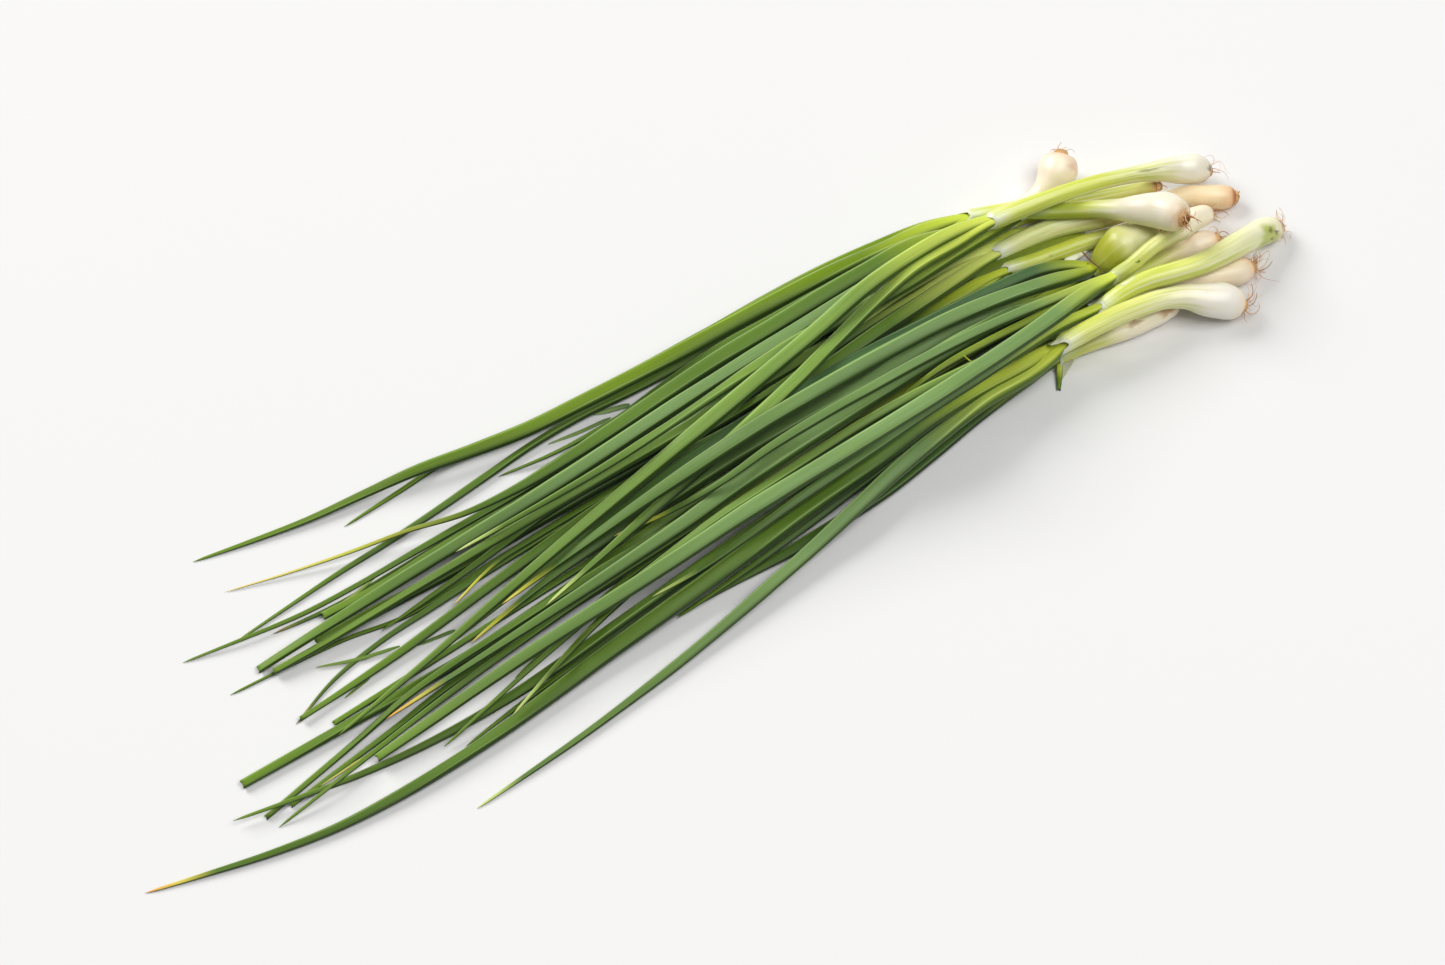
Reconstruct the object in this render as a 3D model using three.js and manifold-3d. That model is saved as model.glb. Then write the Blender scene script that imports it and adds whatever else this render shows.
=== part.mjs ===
// A bunch of thirteen spring onions with their roots on, lying loose on a table, bulbs to the right (+X).
// Millimetres, +Z up, the table is the plane z = 0. Each plant is three nodes: its bulb with the pale shaft
// above it, its green leaves fused where they leave the shaft, and its basal plate with the roots.
import * as THREE from "three";
import Module from "manifold-3d";

// ---------------------------------------------------------------- driving dimensions, mm
const JOINT_GAP = 0.3; // between a shaft and its leaves, and between a bulb and its roots
const SIDEWAYS = 0.2; // share of a push between strands side by side that goes sideways, not up
const CLEARANCE = 0.42; // kept between strands of different plants while they settle
const LEAF_SIDES = 6;
const CORNER_SHARE = 1.07; // corners stand this much outside the drawn half width
const STEM_SIDES = 12;
const STEM_RING_STEP = 10; // distance of the cross sections along a bulb and its shaft
const LEAF_RING_STEP = 25; // distance of the cross sections along a leaf
const LEAF_TIP_WIDTH = 0.95; // a pointed leaf ends in a tip this wide
const LEAF_WALL = 0.85; // wall of a leaf at a cut, open end
const CUT_DEPTH = 5; // how far a cut end is hollow
const FORK_LENGTH = 45; // over this length the leaves of one plant may touch
const PLATE_RADIUS = 3.1; // the hard disc under the bulb that carries the roots
const PLATE_HEIGHT = 1.6;
const ROOT_RADIUS = 0.52;
const ROOT_SIDES = 3;
const ROOT_STEPS = 4; // straight pieces of one root
const TABLE_DIP = 0.12; // how far what lies on the table is pressed flat
const SETTLE_ROUNDS = 520;
const CLEARING_ROUNDS = 400;
const SETTLED = 0.02; // strands may lack this much of their clearance

// Routes are drawn on the table plane, as [u, v]. A strand at height h lies over its route on the way to
// this far point, so that lifting it never slides it across its neighbours as seen from there.
const FAR_POINT = new THREE.Vector3(-399.5, -570.6, 1206.4);

// ---------------------------------------------------------------- the plants
// stem: [u, v, radius] from the root end to the collar where the leaves part; the second point is the bulb's
// widest place. level: what lies over what, 0 for the lowest strand and 100 for the topmost.
// leaves: width at the widest, hold = the share of the length before the taper, end = width of a cut end.
// roots: number, length and the way they lean.
const PLANTS = [
  {
    name: "onion_01",
    level: 10,
    stem: [[213.9, 50.7, 3], [208.2, 44.6, 8.8], [202.3, 41, 7.6], [196, 38.8, 5], [187, 37.5, 3.6],
      [176, 40.2, 3.5], [162.5, 46.8, 3.2]],
    leaves: [
      { level: 27, width: 7.5, hold: 0.5, route: [[150, 50], [130, 53.7], [80, 58], [20, 61.5], [-20, 64],
        [-60, 68], [-100, 76.5], [-150, 82.5], [-195.5, 92]] },
      { level: 14, width: 5.5, hold: 0.5, route: [[140, 54], [115, 58], [80, 61], [40, 62], [-20, 64.5],
        [-60, 69], [-85, 73], [-120, 71.5], [-137, 71]] },
      { level: 22, width: 5, hold: 0.4, route: [[130, 51], [80, 55], [40, 56.3], [0, 57.7], [-40, 60],
        [-80, 57.6], [-115, 55], [-150, 54], [-200, 51]] },
      { level: 16, width: 6.2, hold: 0.5, route: [[145, 48.5], [100, 47.5], [40, 46], [-20, 43.5], [-80, 41.5],
        [-150, 41.5], [-186, 45.5]] },
    ],
    roots: { count: 4, length: 4, lean: [0.3, 0.2, -0.2] },
  },
  {
    name: "onion_02",
    level: 82,
    stem: [[260, 7.3, 2.8], [254.4, 11.9, 6.8], [247.4, 16.1, 5.9], [240.5, 19.7, 4.3], [230, 24.3, 3.5],
      [214, 30, 3.5], [195.2, 34.6, 3.7], [177.7, 38, 4], [170, 39.5, 4.1]],
    leaves: [
      { level: 95, width: 6.8, hold: 0.45, route: [[150, 44], [115, 44], [80, 38.4], [30, 30], [-20, 21.8],
        [-80, 11.8], [-140, 0.8], [-188, -7.2]] },
      { level: 80, width: 6.2, hold: 0.6, route: [[150, 39.2], [130, 39.3], [110, 37], [80, 29.5], [45, 20.5],
        [10, 13.5], [-30, 5.5], [-60, -0.8], [-90, -7.3]] },
    ],
    roots: { count: 5, length: 7, lean: [0.3, 0.8, 0.6] },
  },
  {
    name: "onion_03",
    level: 80,
    stem: [[235.9, -7, 3.2], [232, 0.3, 8.1], [226.2, 5.1, 7.3], [218.5, 10.5, 5.3], [213.4, 14.3, 4.3],
      [207, 19.2, 3.7], [195, 27, 3.6], [185, 35, 3.8]],
    leaves: [
      { level: 60, width: 6.5, hold: 0.3, route: [[165, 35.7], [130, 35.5], [92, 36.7], [60, 38.5],
        [20, 35.8], [-20, 33.6], [-60, 33], [-107, 33.3]] },
      { level: 50, width: 6.3, hold: 0.62, end: 3.4, route: [[165, 38], [130, 42], [100, 42.3], [60, 42.5],
        [0, 41.3], [-60, 38.5], [-130, 37.3], [-199.5, 35.2]] },
      { level: 49, width: 4.4, hold: 0.6, end: 3.4, route: [[160, 35], [100, 39], [40, 39.5], [-40, 38],
        [-100, 40.5], [-140, 39.5], [-166, 41]] },
    ],
    roots: { count: 6, length: 8, lean: [0.1, -0.6, -0.3] },
  },
  {
    name: "onion_04",
    level: 45,
    stem: [[237.5, 11, 1.9], [233, 14, 2.7], [227, 17, 3], [218, 21, 3.2], [208, 25.5, 3.3],
      [198, 30, 3.4], [188, 33.3, 3.6], [177, 35.5, 3.6]],
    leaves: [
      { level: 45, width: 7.4, hold: 0.42, route: [[160, 40.5], [145, 45], [130, 48.3], [80, 49], [30, 49.2],
        [0, 47.5], [-40, 45.6], [-85, 46.4], [-115, 54], [-155, 62.5], [-192, 72.7]] },
      { level: 25, width: 3.6, hold: 0.6, route: [[160, 41], [135, 48], [110, 52], [60, 54], [30, 54.4],
        [0, 51.5], [-40, 48], [-88, 46.5]] },
      { level: 48, width: 3.8, hold: 0.8, end: 3.5, route: [[160, 39], [130, 43], [100, 44.8], [86, 46]] },
      { level: 30, width: 3.4, hold: 0.6, route: [[155, 41], [100, 47], [40, 50], [0, 50.2], [-40, 50.4],
        [-73, 55.2]] },
      { level: 40, width: 4.6, hold: 0.4, route: [[150, 41.5], [100, 45], [50, 45], [0, 44.4], [-60, 43.5],
        [-130, 44.8], [-170, 46.2], [-222, 55]] },
    ],
    roots: { count: 2, length: 4, lean: [0.2, -0.2, -0.1] },
  },
  {
    name: "onion_05",
    level: 70,
    stem: [[246.6, -10.2, 2.6], [238, -9, 5.2], [230.5, -10, 4.4], [220.4, -9.7, 3.5], [212, -10.5, 3.3],
      [205, -12, 3.3], [196, -13, 3.5]],
    leaves: [
      { level: 68, width: 7.2, hold: 0.5, end: 3.6, route: [[180, -13], [150, -15], [100, -16.8], [50, -17],
        [0, -17], [-40, -18.5], [-110, -20.5], [-183, -25.8]] },
      { level: 76, width: 4.6, hold: 0.55, route: [[175, -9], [140, -3], [100, 0.5], [40, 2], [10, 0.5],
        [-10, -0.3], [-30, 2], [-50, 5.3]] },
      { level: 46, width: 3.4, hold: 0.4, route: [[180, -12], [150, -9.5], [110, -6.3], [80, -9.3],
        [55, -10.7], [34, -12.3]] },
    ],
    roots: { count: 5, length: 12, lean: [0.2, -0.8, -0.3] },
  },
  {
    name: "onion_06",
    level: 50,
    stem: [[266.3, -33.4, 2.8], [259.6, -31.2, 6], [252, -31, 5.7], [240, -30.5, 5.1], [230, -29.8, 4.8],
      [220, -27.7, 4.7], [210, -24.5, 4.5], [200, -21.8, 4.2], [190, -21, 3.8], [181, -21.3, 3.6]],
    leaves: [
      { level: 64, width: 5.2, hold: 0.5, route: [[165, -19], [130, -19.6], [100, -20], [60, -22],
        [20, -24.4], [-15, -27.3], [-35, -28], [-53, -27.2]] },
      { level: 66, width: 4.2, hold: 0.5, route: [[165, -20], [130, -15], [80, -10], [40, -9.5], [0, -10.5],
        [-40, -15.2], [-100, -24], [-157, -35.2]] },
      { level: 55, width: 3.8, hold: 0.62, route: [[165, -21], [120, -16], [60, -11], [0, -9.5], [-50, -10.5],
        [-90, -12.5], [-150, -17.7], [-228, -27.7]] },
      { level: 44, width: 3.4, hold: 0.62, end: 2.2, route: [[160, -20], [110, -14], [50, -8], [-20, -5],
        [-100, -6], [-150, -7.8], [-185, -14], [-230, -22]] },
    ],
    roots: { count: 6, length: 9, lean: [0, 0.7, 0.7] },
  },
  {
    name: "onion_07",
    level: 40,
    stem: [[261.1, -9.7, 2.9], [255.4, -6.1, 5.4], [250.2, -2.6, 5.2], [246, 1, 4.5], [232, 5.5, 4.1],
      [212, 10.5, 4], [200, 15.5, 4], [190, 20, 4.1], [175, 23.5, 4.2], [162, 25.5, 4.2]],
    leaves: [
      { level: 55, width: 6.2, hold: 0.45, end: 2.2, route: [[150, 25], [100, 22.8], [60, 20.5], [30, 18.8],
        [0, 20], [-40, 19.5], [-90, 15.6], [-150, 9.5], [-197, 7.2]] },
      { level: 47, width: 5.4, hold: 0.4, end: 2.6, route: [[150, 30], [130, 33], [100, 30.5], [70, 28.3],
        [30, 29], [-20, 30.5], [-80, 31], [-160, 30.2], [-195, 31]] },
      { level: 50, width: 3, hold: 0.5, route: [[145, 28.2], [100, 27.5], [60, 25], [0, 23], [-65, 22],
        [-92, 22], [-120, 15]] },
      { level: 46, width: 6, hold: 0.5, route: [[145, 29], [110, 32], [80, 32], [45, 30], [0, 28.5],
        [-60, 29.5], [-110, 25], [-150, 22]] },
    ],
    roots: { count: 4, length: 3.4, lean: [0.4, 0.1, 0.2] },
  },
  {
    name: "onion_08",
    level: 14,
    stem: [[231, -3, 2.2], [224, 0, 4.6], [213, 3.6, 3.9], [200, 7.6, 3.4], [190, 10, 3.3], [180, 11.5, 3.2],
      [170, 13, 3.2], [159, 15.5, 3.2]],
    leaves: [
      { level: 52, width: 3.4, hold: 0.3, route: [[145, 18], [125, 17.5], [105, 15.6], [93, 15.2]] },
      { level: 40, width: 6.6, hold: 0.62, end: 4.4, route: [[145, 16], [100, 18.5], [60, 21.5], [20, 23.8],
        [-20, 26], [-70, 27.6], [-120, 29.2], [-173.5, 33]] },
      { level: 48, width: 4, hold: 0.6, route: [[140, 14], [90, 16], [30, 18.5], [-40, 20.6], [-90, 20.8],
        [-140, 18.7], [-170, 16.2], [-199.5, 6.3]] },
      { level: 24, width: 3.6, hold: 0.4, route: [[140, 14.5], [80, 18.5], [0, 22.5], [-60, 23.8], [-137, 22],
        [-165, 27.3], [-214, 32]] },
    ],
    roots: { count: 4, length: 5, lean: [0.3, -0.3, -0.3] },
  },
  {
    name: "onion_09",
    level: 15,
    stem: [[223, -8, 3.2], [213.5, -4.2, 7.8], [207, -2.8, 7.6], [201, -2.6, 6.4], [195.5, -3.3, 4.8],
      [190, -4.5, 3.8]],
    leaves: [
      { level: 65, width: 5.6, hold: 0.5, route: [[183, 1], [173, 6.5], [160, 9.6], [140, 12], [80, 16.5],
        [10, 18], [-30, 14.5], [-70, 9.6], [-128, 1.7]] },
      { level: 90, width: 6.9, hold: 0.62, route: [[181, -3.5], [160, 2.8], [130, 9], [100, 11.8], [60, 13.3],
        [20, 13.2], [-20, 11.3], [-60, 8.2], [-104, 3.5]] },
      { level: 56, width: 3, hold: 0.6, route: [[172, -3], [148, 1], [133, 3.2], [120.5, 5.5]] },
      { level: 38, width: 4.8, hold: 0.85, end: 3.8, route: [[170, -5], [120, -1], [60, 1], [0, 0.5],
        [-60, -3.5], [-120, -7], [-180, -5.8], [-230.5, -4]] },
    ],
    roots: { count: 4, length: 5, lean: [0.2, -0.4, -0.3] },
  },
  {
    name: "onion_10",
    level: 13,
    stem: [[241, -22.5, 2.6], [231, -19.5, 6], [221, -17, 4.6], [210, -16.5, 4], [200, -16.2, 3.8],
      [190, -17, 3.7]],
    leaves: [
      { level: 74, width: 7.7, hold: 0.45, route: [[178, -10.5], [160, -5.5], [130, -2.8], [80, -2.6],
        [30, -4.2], [-20, -6.9], [-80, -9.5], [-169, -12]] },
      { level: 72, width: 6.8, hold: 0.6, route: [[175, -11], [155, -4.5], [130, 3], [100, 4.8], [60, 5.8],
        [30, 6.6], [-20, 5.9], [-80, 2.7], [-124, -5.5]] },
      { level: 70, width: 5.4, hold: 0.5, route: [[170, -12.5], [140, -9.5], [90, -10], [40, -8.5],
        [0, -11.8], [-40, -17.2], [-80, -24.7], [-128, -39.7]] },
      { level: 36, width: 3, hold: 0.6, end: 2.4, route: [[170, -12], [120, -6], [60, -1], [0, 1.5],
        [-60, 0.5], [-120, -1], [-187, -3.5]] },
    ],
    roots: { count: 4, length: 6, lean: [0.3, -0.3, -0.2] },
  },
  {
    name: "onion_11",
    level: 12,
    stem: [[244.1, -41.5, 2.6], [237.1, -40.2, 5.8], [227, -37, 4.6], [215, -32.5, 4.1], [198, -28, 3.9],
      [180, -25, 3.6]],
    leaves: [
      { level: 50, width: 5.2, hold: 0.62, route: [[160, -23], [110, -21], [60, -22], [0, -25], [-50, -28],
        [-120, -32.3], [-180, -28.5], [-241, -15.3]] },
      { level: 40, width: 3.8, hold: 0.5, end: 1.8, route: [[160, -23], [110, -18], [40, -14], [-40, -12],
        [-130, -13], [-175, -17.5], [-220, -20.8]] },
      { level: 60, width: 3.6, hold: 0.4, route: [[160, -22.5], [110, -13.5], [60, -12], [10, -11],
        [-40, -12.5], [-80, -18], [-118, -26]] },
      { level: 20, width: 5.6, hold: 0.5, route: [[160, -25], [110, -27], [40, -26.5], [-30, -29.5],
        [-90, -33.5], [-150, -40]] },
    ],
    roots: { count: 7, length: 11, lean: [0.2, 0.4, 0.4] },
  },
  {
    name: "onion_12",
    level: 60,
    stem: [[228.5, -55, 3.4], [223, -48.3, 7.8], [215.8, -42.1, 6.7], [211.4, -37.6, 5.3],
      [205.9, -34.4, 4.6], [199.6, -32.2, 4.3], [192.9, -30.5, 4.3], [185, -28.7, 4.3], [170, -27, 4.2],
      [157, -26, 4.2]],
    leaves: [
      { level: 60, width: 7.6, hold: 0.48, route: [[140, -25], [100, -24.6], [40, -29], [-20, -33.5],
        [-80, -37.8], [-140, -42.8], [-190, -42.6], [-230, -37], [-284, -22]] },
      { level: 55, width: 6.9, hold: 0.3, route: [[140, -29.3], [100, -29.8], [60, -35.8], [20, -44.3],
        [-20, -51.4], [-60, -57.5], [-110, -62.4], [-161, -64.8]] },
      { level: 44, width: 4.6, hold: 0.5, route: [[135, -27.5], [90, -29], [50, -32.3], [10, -36.8],
        [-30, -39.5], [-50, -40.3]] },
    ],
    roots: { count: 7, length: 9.5, lean: [0.1, 0.8, 0.6] },
  },
  {
    name: "onion_13",
    level: 8,
    stem: [[206.5, -37.2, 2.6], [196, -37.4, 4.8], [185, -37, 4.5], [175, -35.5, 3.8], [165, -33.2, 3.2],
      [157, -31.4, 2.9], [150, -29.9, 2.9]],
    leaves: [
      { level: 40, width: 6, hold: 0.6, route: [[130, -31], [110, -33], [90, -36], [70, -39], [50, -41.3],
        [20, -42], [-20, -40.4], [-50, -40]] },
      { level: 8, width: 2.6, hold: 0.5, end: 1.6, route: [[147, -33.5], [143.5, -38.5], [139.8, -43.6]] },
    ],
    roots: { count: 4, length: 4, lean: [0.4, 0.1, -0.1] },
  },
];

// ---------------------------------------------------------------- small helpers
const wasm = await Module();
wasm.setup();

const lerp = (a, b, t) => a + (b - a) * t;
const clamp = (x, lo, hi) => Math.min(hi, Math.max(lo, x));
const smooth = (t) => t * t * (3 - 2 * t);

/** A repeatable random source. */
function randomSource(seed) {
  let state = seed >>> 0;
  return () => {
    state = (Math.imul(state, 1664525) + 1013904223) >>> 0;
    return state / 4294967296;
  };
}

/** A smooth curve through hand-set points of any number of values, read by distance along it. */
function curveThrough(points) {
  const size = points[0].length;
  const at = (i) => points[clamp(i, 0, points.length - 1)];
  const sample = (x) => {
    const i = clamp(Math.floor(x), 0, points.length - 2);
    const t = x - i;
    const [a, b, c, d] = [at(i - 1), at(i), at(i + 1), at(i + 2)];
    const out = [];
    for (let k = 0; k < size; k += 1) {
      const m0 = (c[k] - a[k]) / 2;
      const m1 = (d[k] - b[k]) / 2;
      const t2 = t * t;
      const t3 = t2 * t;
      out.push((2 * t3 - 3 * t2 + 1) * b[k] + (t3 - 2 * t2 + t) * m0
        + (3 * t2 - 2 * t3) * c[k] + (t3 - t2) * m1);
    }
    return out;
  };
  const steps = (points.length - 1) * 12;
  const lengths = [0];
  const values = [sample(0)];
  for (let i = 1; i <= steps; i += 1) {
    const value = sample((i / steps) * (points.length - 1));
    const last = values[i - 1];
    lengths.push(lengths[i - 1] + Math.hypot(value[0] - last[0], value[1] - last[1]));
    values.push(value);
  }
  const total = lengths[steps];
  const atLength = (s) => {
    let i = 1;
    while (i < steps && lengths[i] < s) i += 1;
    const t = clamp((s - lengths[i - 1]) / (lengths[i] - lengths[i - 1] || 1), 0, 1);
    return values[i].map((value, k) => lerp(values[i - 1][k], value, t));
  };
  return { total, atLength };
}

// ---------------------------------------------------------------- strands
/** The rings of a bulb and its shaft: a rounded base up to the widest place, then the drawn radii. */
function stemStrand(plant) {
  const [base, bulb] = plant.stem;
  const rings = [0, 0.12, 0.45].map((t) => [
    lerp(base[0], bulb[0], t),
    lerp(base[1], bulb[1], t),
    lerp(base[2], bulb[2], Math.sqrt(1 - (1 - t) ** 2)),
  ]);
  const shaft = curveThrough(plant.stem.slice(1));
  const count = Math.max(7, Math.round(shaft.total / STEM_RING_STEP));
  for (let i = 0; i <= count; i += 1) {
    rings.push(shaft.atLength((i / count) ** 1.25 * shaft.total));
  }
  return makeStrand(plant, rings, plant.level, plant.level, true);
}

/** The rings of one leaf, from the collar to its tip or its cut end. */
function leafStrand(plant, leaf) {
  const collar = plant.stem[plant.stem.length - 1];
  const curve = curveThrough([collar.slice(0, 2), ...leaf.route]);
  const second = Math.min(20, 0.45 * curve.total);
  const count = Math.max(2, Math.round((curve.total - second) / LEAF_RING_STEP));
  const stops = [0, 0.45 * second];
  for (let i = 0; i <= count; i += 1) {
    stops.push(Math.min(curve.total, lerp(second, curve.total, i / count)));
  }
  const narrow = leaf.end ?? LEAF_TIP_WIDTH;
  const rings = stops.map((s) => {
    const t = s / curve.total;
    const taper = clamp((1 - t) / (1 - leaf.hold), 0, 1) ** 0.78;
    const width = lerp(narrow, leaf.width, taper);
    const radius = lerp(Math.min(0.62 * collar[2], width * 0.6), (width / 2) * CORNER_SHARE,
      smooth(Math.min(1, s / 26)));
    return [...curve.atLength(s), radius];
  });
  return makeStrand(plant, rings, plant.level, leaf.level, false);
}

/** A strand: its rings on the table, the heights they settle to, and how far it has been pushed aside. */
function makeStrand(plant, rings, firstLevel, level, isStem) {
  const along = [0];
  rings.forEach((ring, i) => {
    if (i > 0) along.push(along[i - 1] + Math.hypot(ring[0] - rings[i - 1][0], ring[1] - rings[i - 1][1]));
  });
  const levels = along.map((s) => lerp(firstLevel, level, smooth(Math.min(1, s / 55))));
  return {
    plant,
    isStem,
    rings,
    along,
    levels,
    floor: rings.map((ring) => ring[2] * (isStem ? 0.966 : 0.866) - TABLE_DIP),
    height: rings.map((ring, i) => ring[2] + (isStem ? level : levels[i]) * 0.7),
    aside: rings.map(() => [0, 0]),
    points: rings.map(() => new THREE.Vector3()),
  };
}

/** Puts one ring of a strand in space, over its route at its height. */
function placeRing(strand, i) {
  const share = strand.height[i] / FAR_POINT.z;
  const u = strand.rings[i][0] + strand.aside[i][0];
  const v = strand.rings[i][1] + strand.aside[i][1];
  strand.points[i].set(u + (FAR_POINT.x - u) * share, v + (FAR_POINT.y - v) * share, strand.height[i]);
}

/** Puts all rings of a strand in space. */
function place(strand) {
  strand.rings.forEach((_, i) => placeRing(strand, i));
}

/** The closest points of two straight pieces, as their shares and the distance. */
function closest(p1, q1, p2, q2) {
  const d1x = q1.x - p1.x;
  const d1y = q1.y - p1.y;
  const d1z = q1.z - p1.z;
  const d2x = q2.x - p2.x;
  const d2y = q2.y - p2.y;
  const d2z = q2.z - p2.z;
  const rx = p1.x - p2.x;
  const ry = p1.y - p2.y;
  const rz = p1.z - p2.z;
  const a = d1x * d1x + d1y * d1y + d1z * d1z;
  const e = d2x * d2x + d2y * d2y + d2z * d2z;
  const f = d2x * rx + d2y * ry + d2z * rz;
  const c = d1x * rx + d1y * ry + d1z * rz;
  const b = d1x * d2x + d1y * d2y + d1z * d2z;
  const den = a * e - b * b;
  let s = den > 1e-9 ? clamp((b * f - c * e) / den, 0, 1) : 0.5;
  let t = (b * s + f) / e;
  if (t < 0 || t > 1) {
    t = clamp(t, 0, 1);
    s = clamp((b * t - c) / a, 0, 1);
  }
  const x = rx + d1x * s - d2x * t;
  const y = ry + d1y * s - d2y * t;
  const z = rz + d1z * s - d2z * t;
  return { s, t, x, y, z, distance: Math.hypot(x, y, z) };
}

/** Whether two pieces of one plant are so near the fork that they may touch. */
function atFork(a, i, b, j) {
  if (a.plant !== b.plant) return false;
  return a.isStem || b.isStem || a.along[i] < FORK_LENGTH || b.along[j] < FORK_LENGTH;
}

/** Every two pieces that may meet, with the one that lies on top, decided once for each shared stretch. */
function findMeetings(strands) {
  const flat = new Map(strands.map((strand) => [
    strand,
    strand.rings.map((ring) => new THREE.Vector3(ring[0], ring[1], 0)),
  ]));
  const meetings = [];
  strands.forEach((a, n) => strands.slice(n + 1).forEach((b) => {
    const pa = flat.get(a);
    const pb = flat.get(b);
    let stretch = [];
    let lastSeen = -9;
    const close = () => {
      const lead = stretch.reduce((sum, m) => sum + a.levels[m.i] - b.levels[m.j], 0);
      stretch.forEach((m) => {
        m.sign = lead >= 0 ? 1 : -1;
        meetings.push(m);
      });
      stretch = [];
    };
    for (let i = 0; i < pa.length - 1; i += 1) {
      for (let j = 0; j < pb.length - 1; j += 1) {
        if (atFork(a, i, b, j)) continue;
        const reach = Math.max(a.rings[i][2], a.rings[i + 1][2]) + Math.max(b.rings[j][2], b.rings[j + 1][2]);
        if (closest(pa[i], pa[i + 1], pb[j], pb[j + 1]).distance > reach + 7) continue;
        if (i > lastSeen + 2 && stretch.length) close();
        lastSeen = i;
        stretch.push({ a, b, i, j });
      }
    }
    if (stretch.length) close();
  }));
  return meetings;
}

const SIGHT = FAR_POINT.clone().normalize();

/** Moves the two sides of a meeting apart, mostly up and down. Returns how much they were too near. */
function separate(m, sideways) {
  const { a, b, i, j, sign } = m;
  const c = closest(a.points[i], a.points[i + 1], b.points[j], b.points[j + 1]);
  const need = lerp(a.rings[i][2], a.rings[i + 1][2], c.s) + lerp(b.rings[j][2], b.rings[j + 1][2], c.t)
    + CLEARANCE;
  const over = c.x * SIGHT.x + c.y * SIGHT.y + c.z * SIGHT.z;
  const px = c.x - over * SIGHT.x;
  const py = c.y - over * SIGHT.y;
  const pz = c.z - over * SIGHT.z;
  const beside = Math.hypot(px, py, pz);
  if (beside >= need) return 0;
  const lack = Math.sqrt(need * need - beside * beside) - sign * over;
  if (lack <= 0) return 0;
  const near = need - Math.min(need, sign * over > 0 ? c.distance : -c.distance);
  const aSide = sideways * smooth(clamp((beside / need - 0.55) / 0.4, 0, 1));
  const lift = lack * (1 - aSide) * SIGHT.z * sign;
  const shares = [
    [a, i, 1 - c.s, 0.55],
    [a, i + 1, c.s, 0.55],
    [b, j, 1 - c.t, -0.45],
    [b, j + 1, c.t, -0.45],
  ];
  const push = beside > 1e-6 ? (aSide * Math.min(near, 2)) / beside : 0;
  for (const [strand, k, share, way] of shares) {
    strand.height[k] += lift * share * way;
    strand.aside[k][0] += px * push * share * way;
    strand.aside[k][1] += py * push * share * way;
  }
  return Math.min(near, lack);
}

/** Bends a strand back towards a smooth line and towards its drawn route. */
function relax(strand, stiffness, pull) {
  const { height, aside, along } = strand;
  const last = height.length - 1;
  for (let i = 1; i < last; i += 1) {
    const t = (along[i] - along[i - 1]) / (along[i + 1] - along[i - 1]);
    height[i] += stiffness * (lerp(height[i - 1], height[i + 1], t) - height[i]);
    for (const k of [0, 1]) {
      aside[i][k] += stiffness * (lerp(aside[i - 1][k], aside[i + 1][k], t) - aside[i][k]);
      aside[i][k] *= 1 - pull;
    }
  }
}

/** The values of the smooth parabola nearest to the given ones. */
function parabola(along, values) {
  const size = along[along.length - 1];
  const rows = [[0, 0, 0, 0], [0, 0, 0, 0], [0, 0, 0, 0]];
  along.forEach((s, i) => {
    const powers = [1, s / size, (s / size) ** 2];
    for (let r = 0; r < 3; r += 1) {
      for (let c = 0; c < 3; c += 1) rows[r][c] += powers[r] * powers[c];
      rows[r][3] += powers[r] * values[i];
    }
  });
  for (let r = 0; r < 3; r += 1) {
    for (let other = 0; other < 3; other += 1) {
      if (other === r) continue;
      const share = rows[other][r] / rows[r][r];
      for (let c = 0; c < 4; c += 1) rows[other][c] -= share * rows[r][c];
    }
  }
  const [a, b, c] = rows.map((row, r) => row[3] / row[r]);
  return along.map((s) => a + (b * s) / size + c * (s / size) ** 2);
}

/** Keeps a bulb and its shaft stiff. */
function stiffen(strand, share) {
  const { height, aside, along } = strand;
  parabola(along, height).forEach((h, i) => {
    height[i] = lerp(height[i], h, share);
  });
  for (const k of [0, 1]) {
    parabola(along, aside.map((a) => a[k])).forEach((x, i) => {
      aside[i][k] = lerp(aside[i][k], x, share) * 0.99;
    });
  }
}

/** Keeps the rings below a bulb's widest place in one straight line with it. */
function straightenBase(strand) {
  const along = strand.along.slice(0, 4);
  const mean = along.reduce((sum, s) => sum + s, 0) / 4;
  const spread = along.reduce((sum, s) => sum + (s - mean) ** 2, 0);
  const fit = (values) => {
    const middle = values.reduce((sum, x) => sum + x, 0) / 4;
    const slope = values.reduce((sum, x, i) => sum + (x - middle) * (along[i] - mean), 0) / spread;
    return along.map((s) => middle + slope * (s - mean));
  };
  fit(strand.height.slice(0, 4)).forEach((h, i) => {
    strand.height[i] = h;
  });
  for (const k of [0, 1]) {
    fit(strand.aside.slice(0, 4).map((a) => a[k])).forEach((x, i) => {
      strand.aside[i][k] = x;
    });
  }
}

/** Ties the first ring of a leaf to the collar of its shaft. */
function tie(leaf, stem) {
  const last = stem.height.length - 1;
  leaf.height[0] = stem.height[last];
  leaf.aside[0] = [...stem.aside[last]];
}

/** Clears every meeting once and keeps all strands over the table. Returns the greatest lack of room. */
function clearMeetings(plants, strands, meetings) {
  let worst = 0;
  strands.forEach(place);
  for (const m of meetings) {
    worst = Math.max(worst, separate(m, SIDEWAYS));
    placeRing(m.a, m.i);
    placeRing(m.a, m.i + 1);
    placeRing(m.b, m.j);
    placeRing(m.b, m.j + 1);
  }
  for (const plant of plants) {
    straightenBase(plant.stemStrand);
    plant.leafStrands.forEach((leaf) => tie(leaf, plant.stemStrand));
  }
  for (const strand of strands) {
    strand.height = strand.height.map((h, i) => Math.max(h, strand.floor[i]));
  }
  return worst;
}

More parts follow.
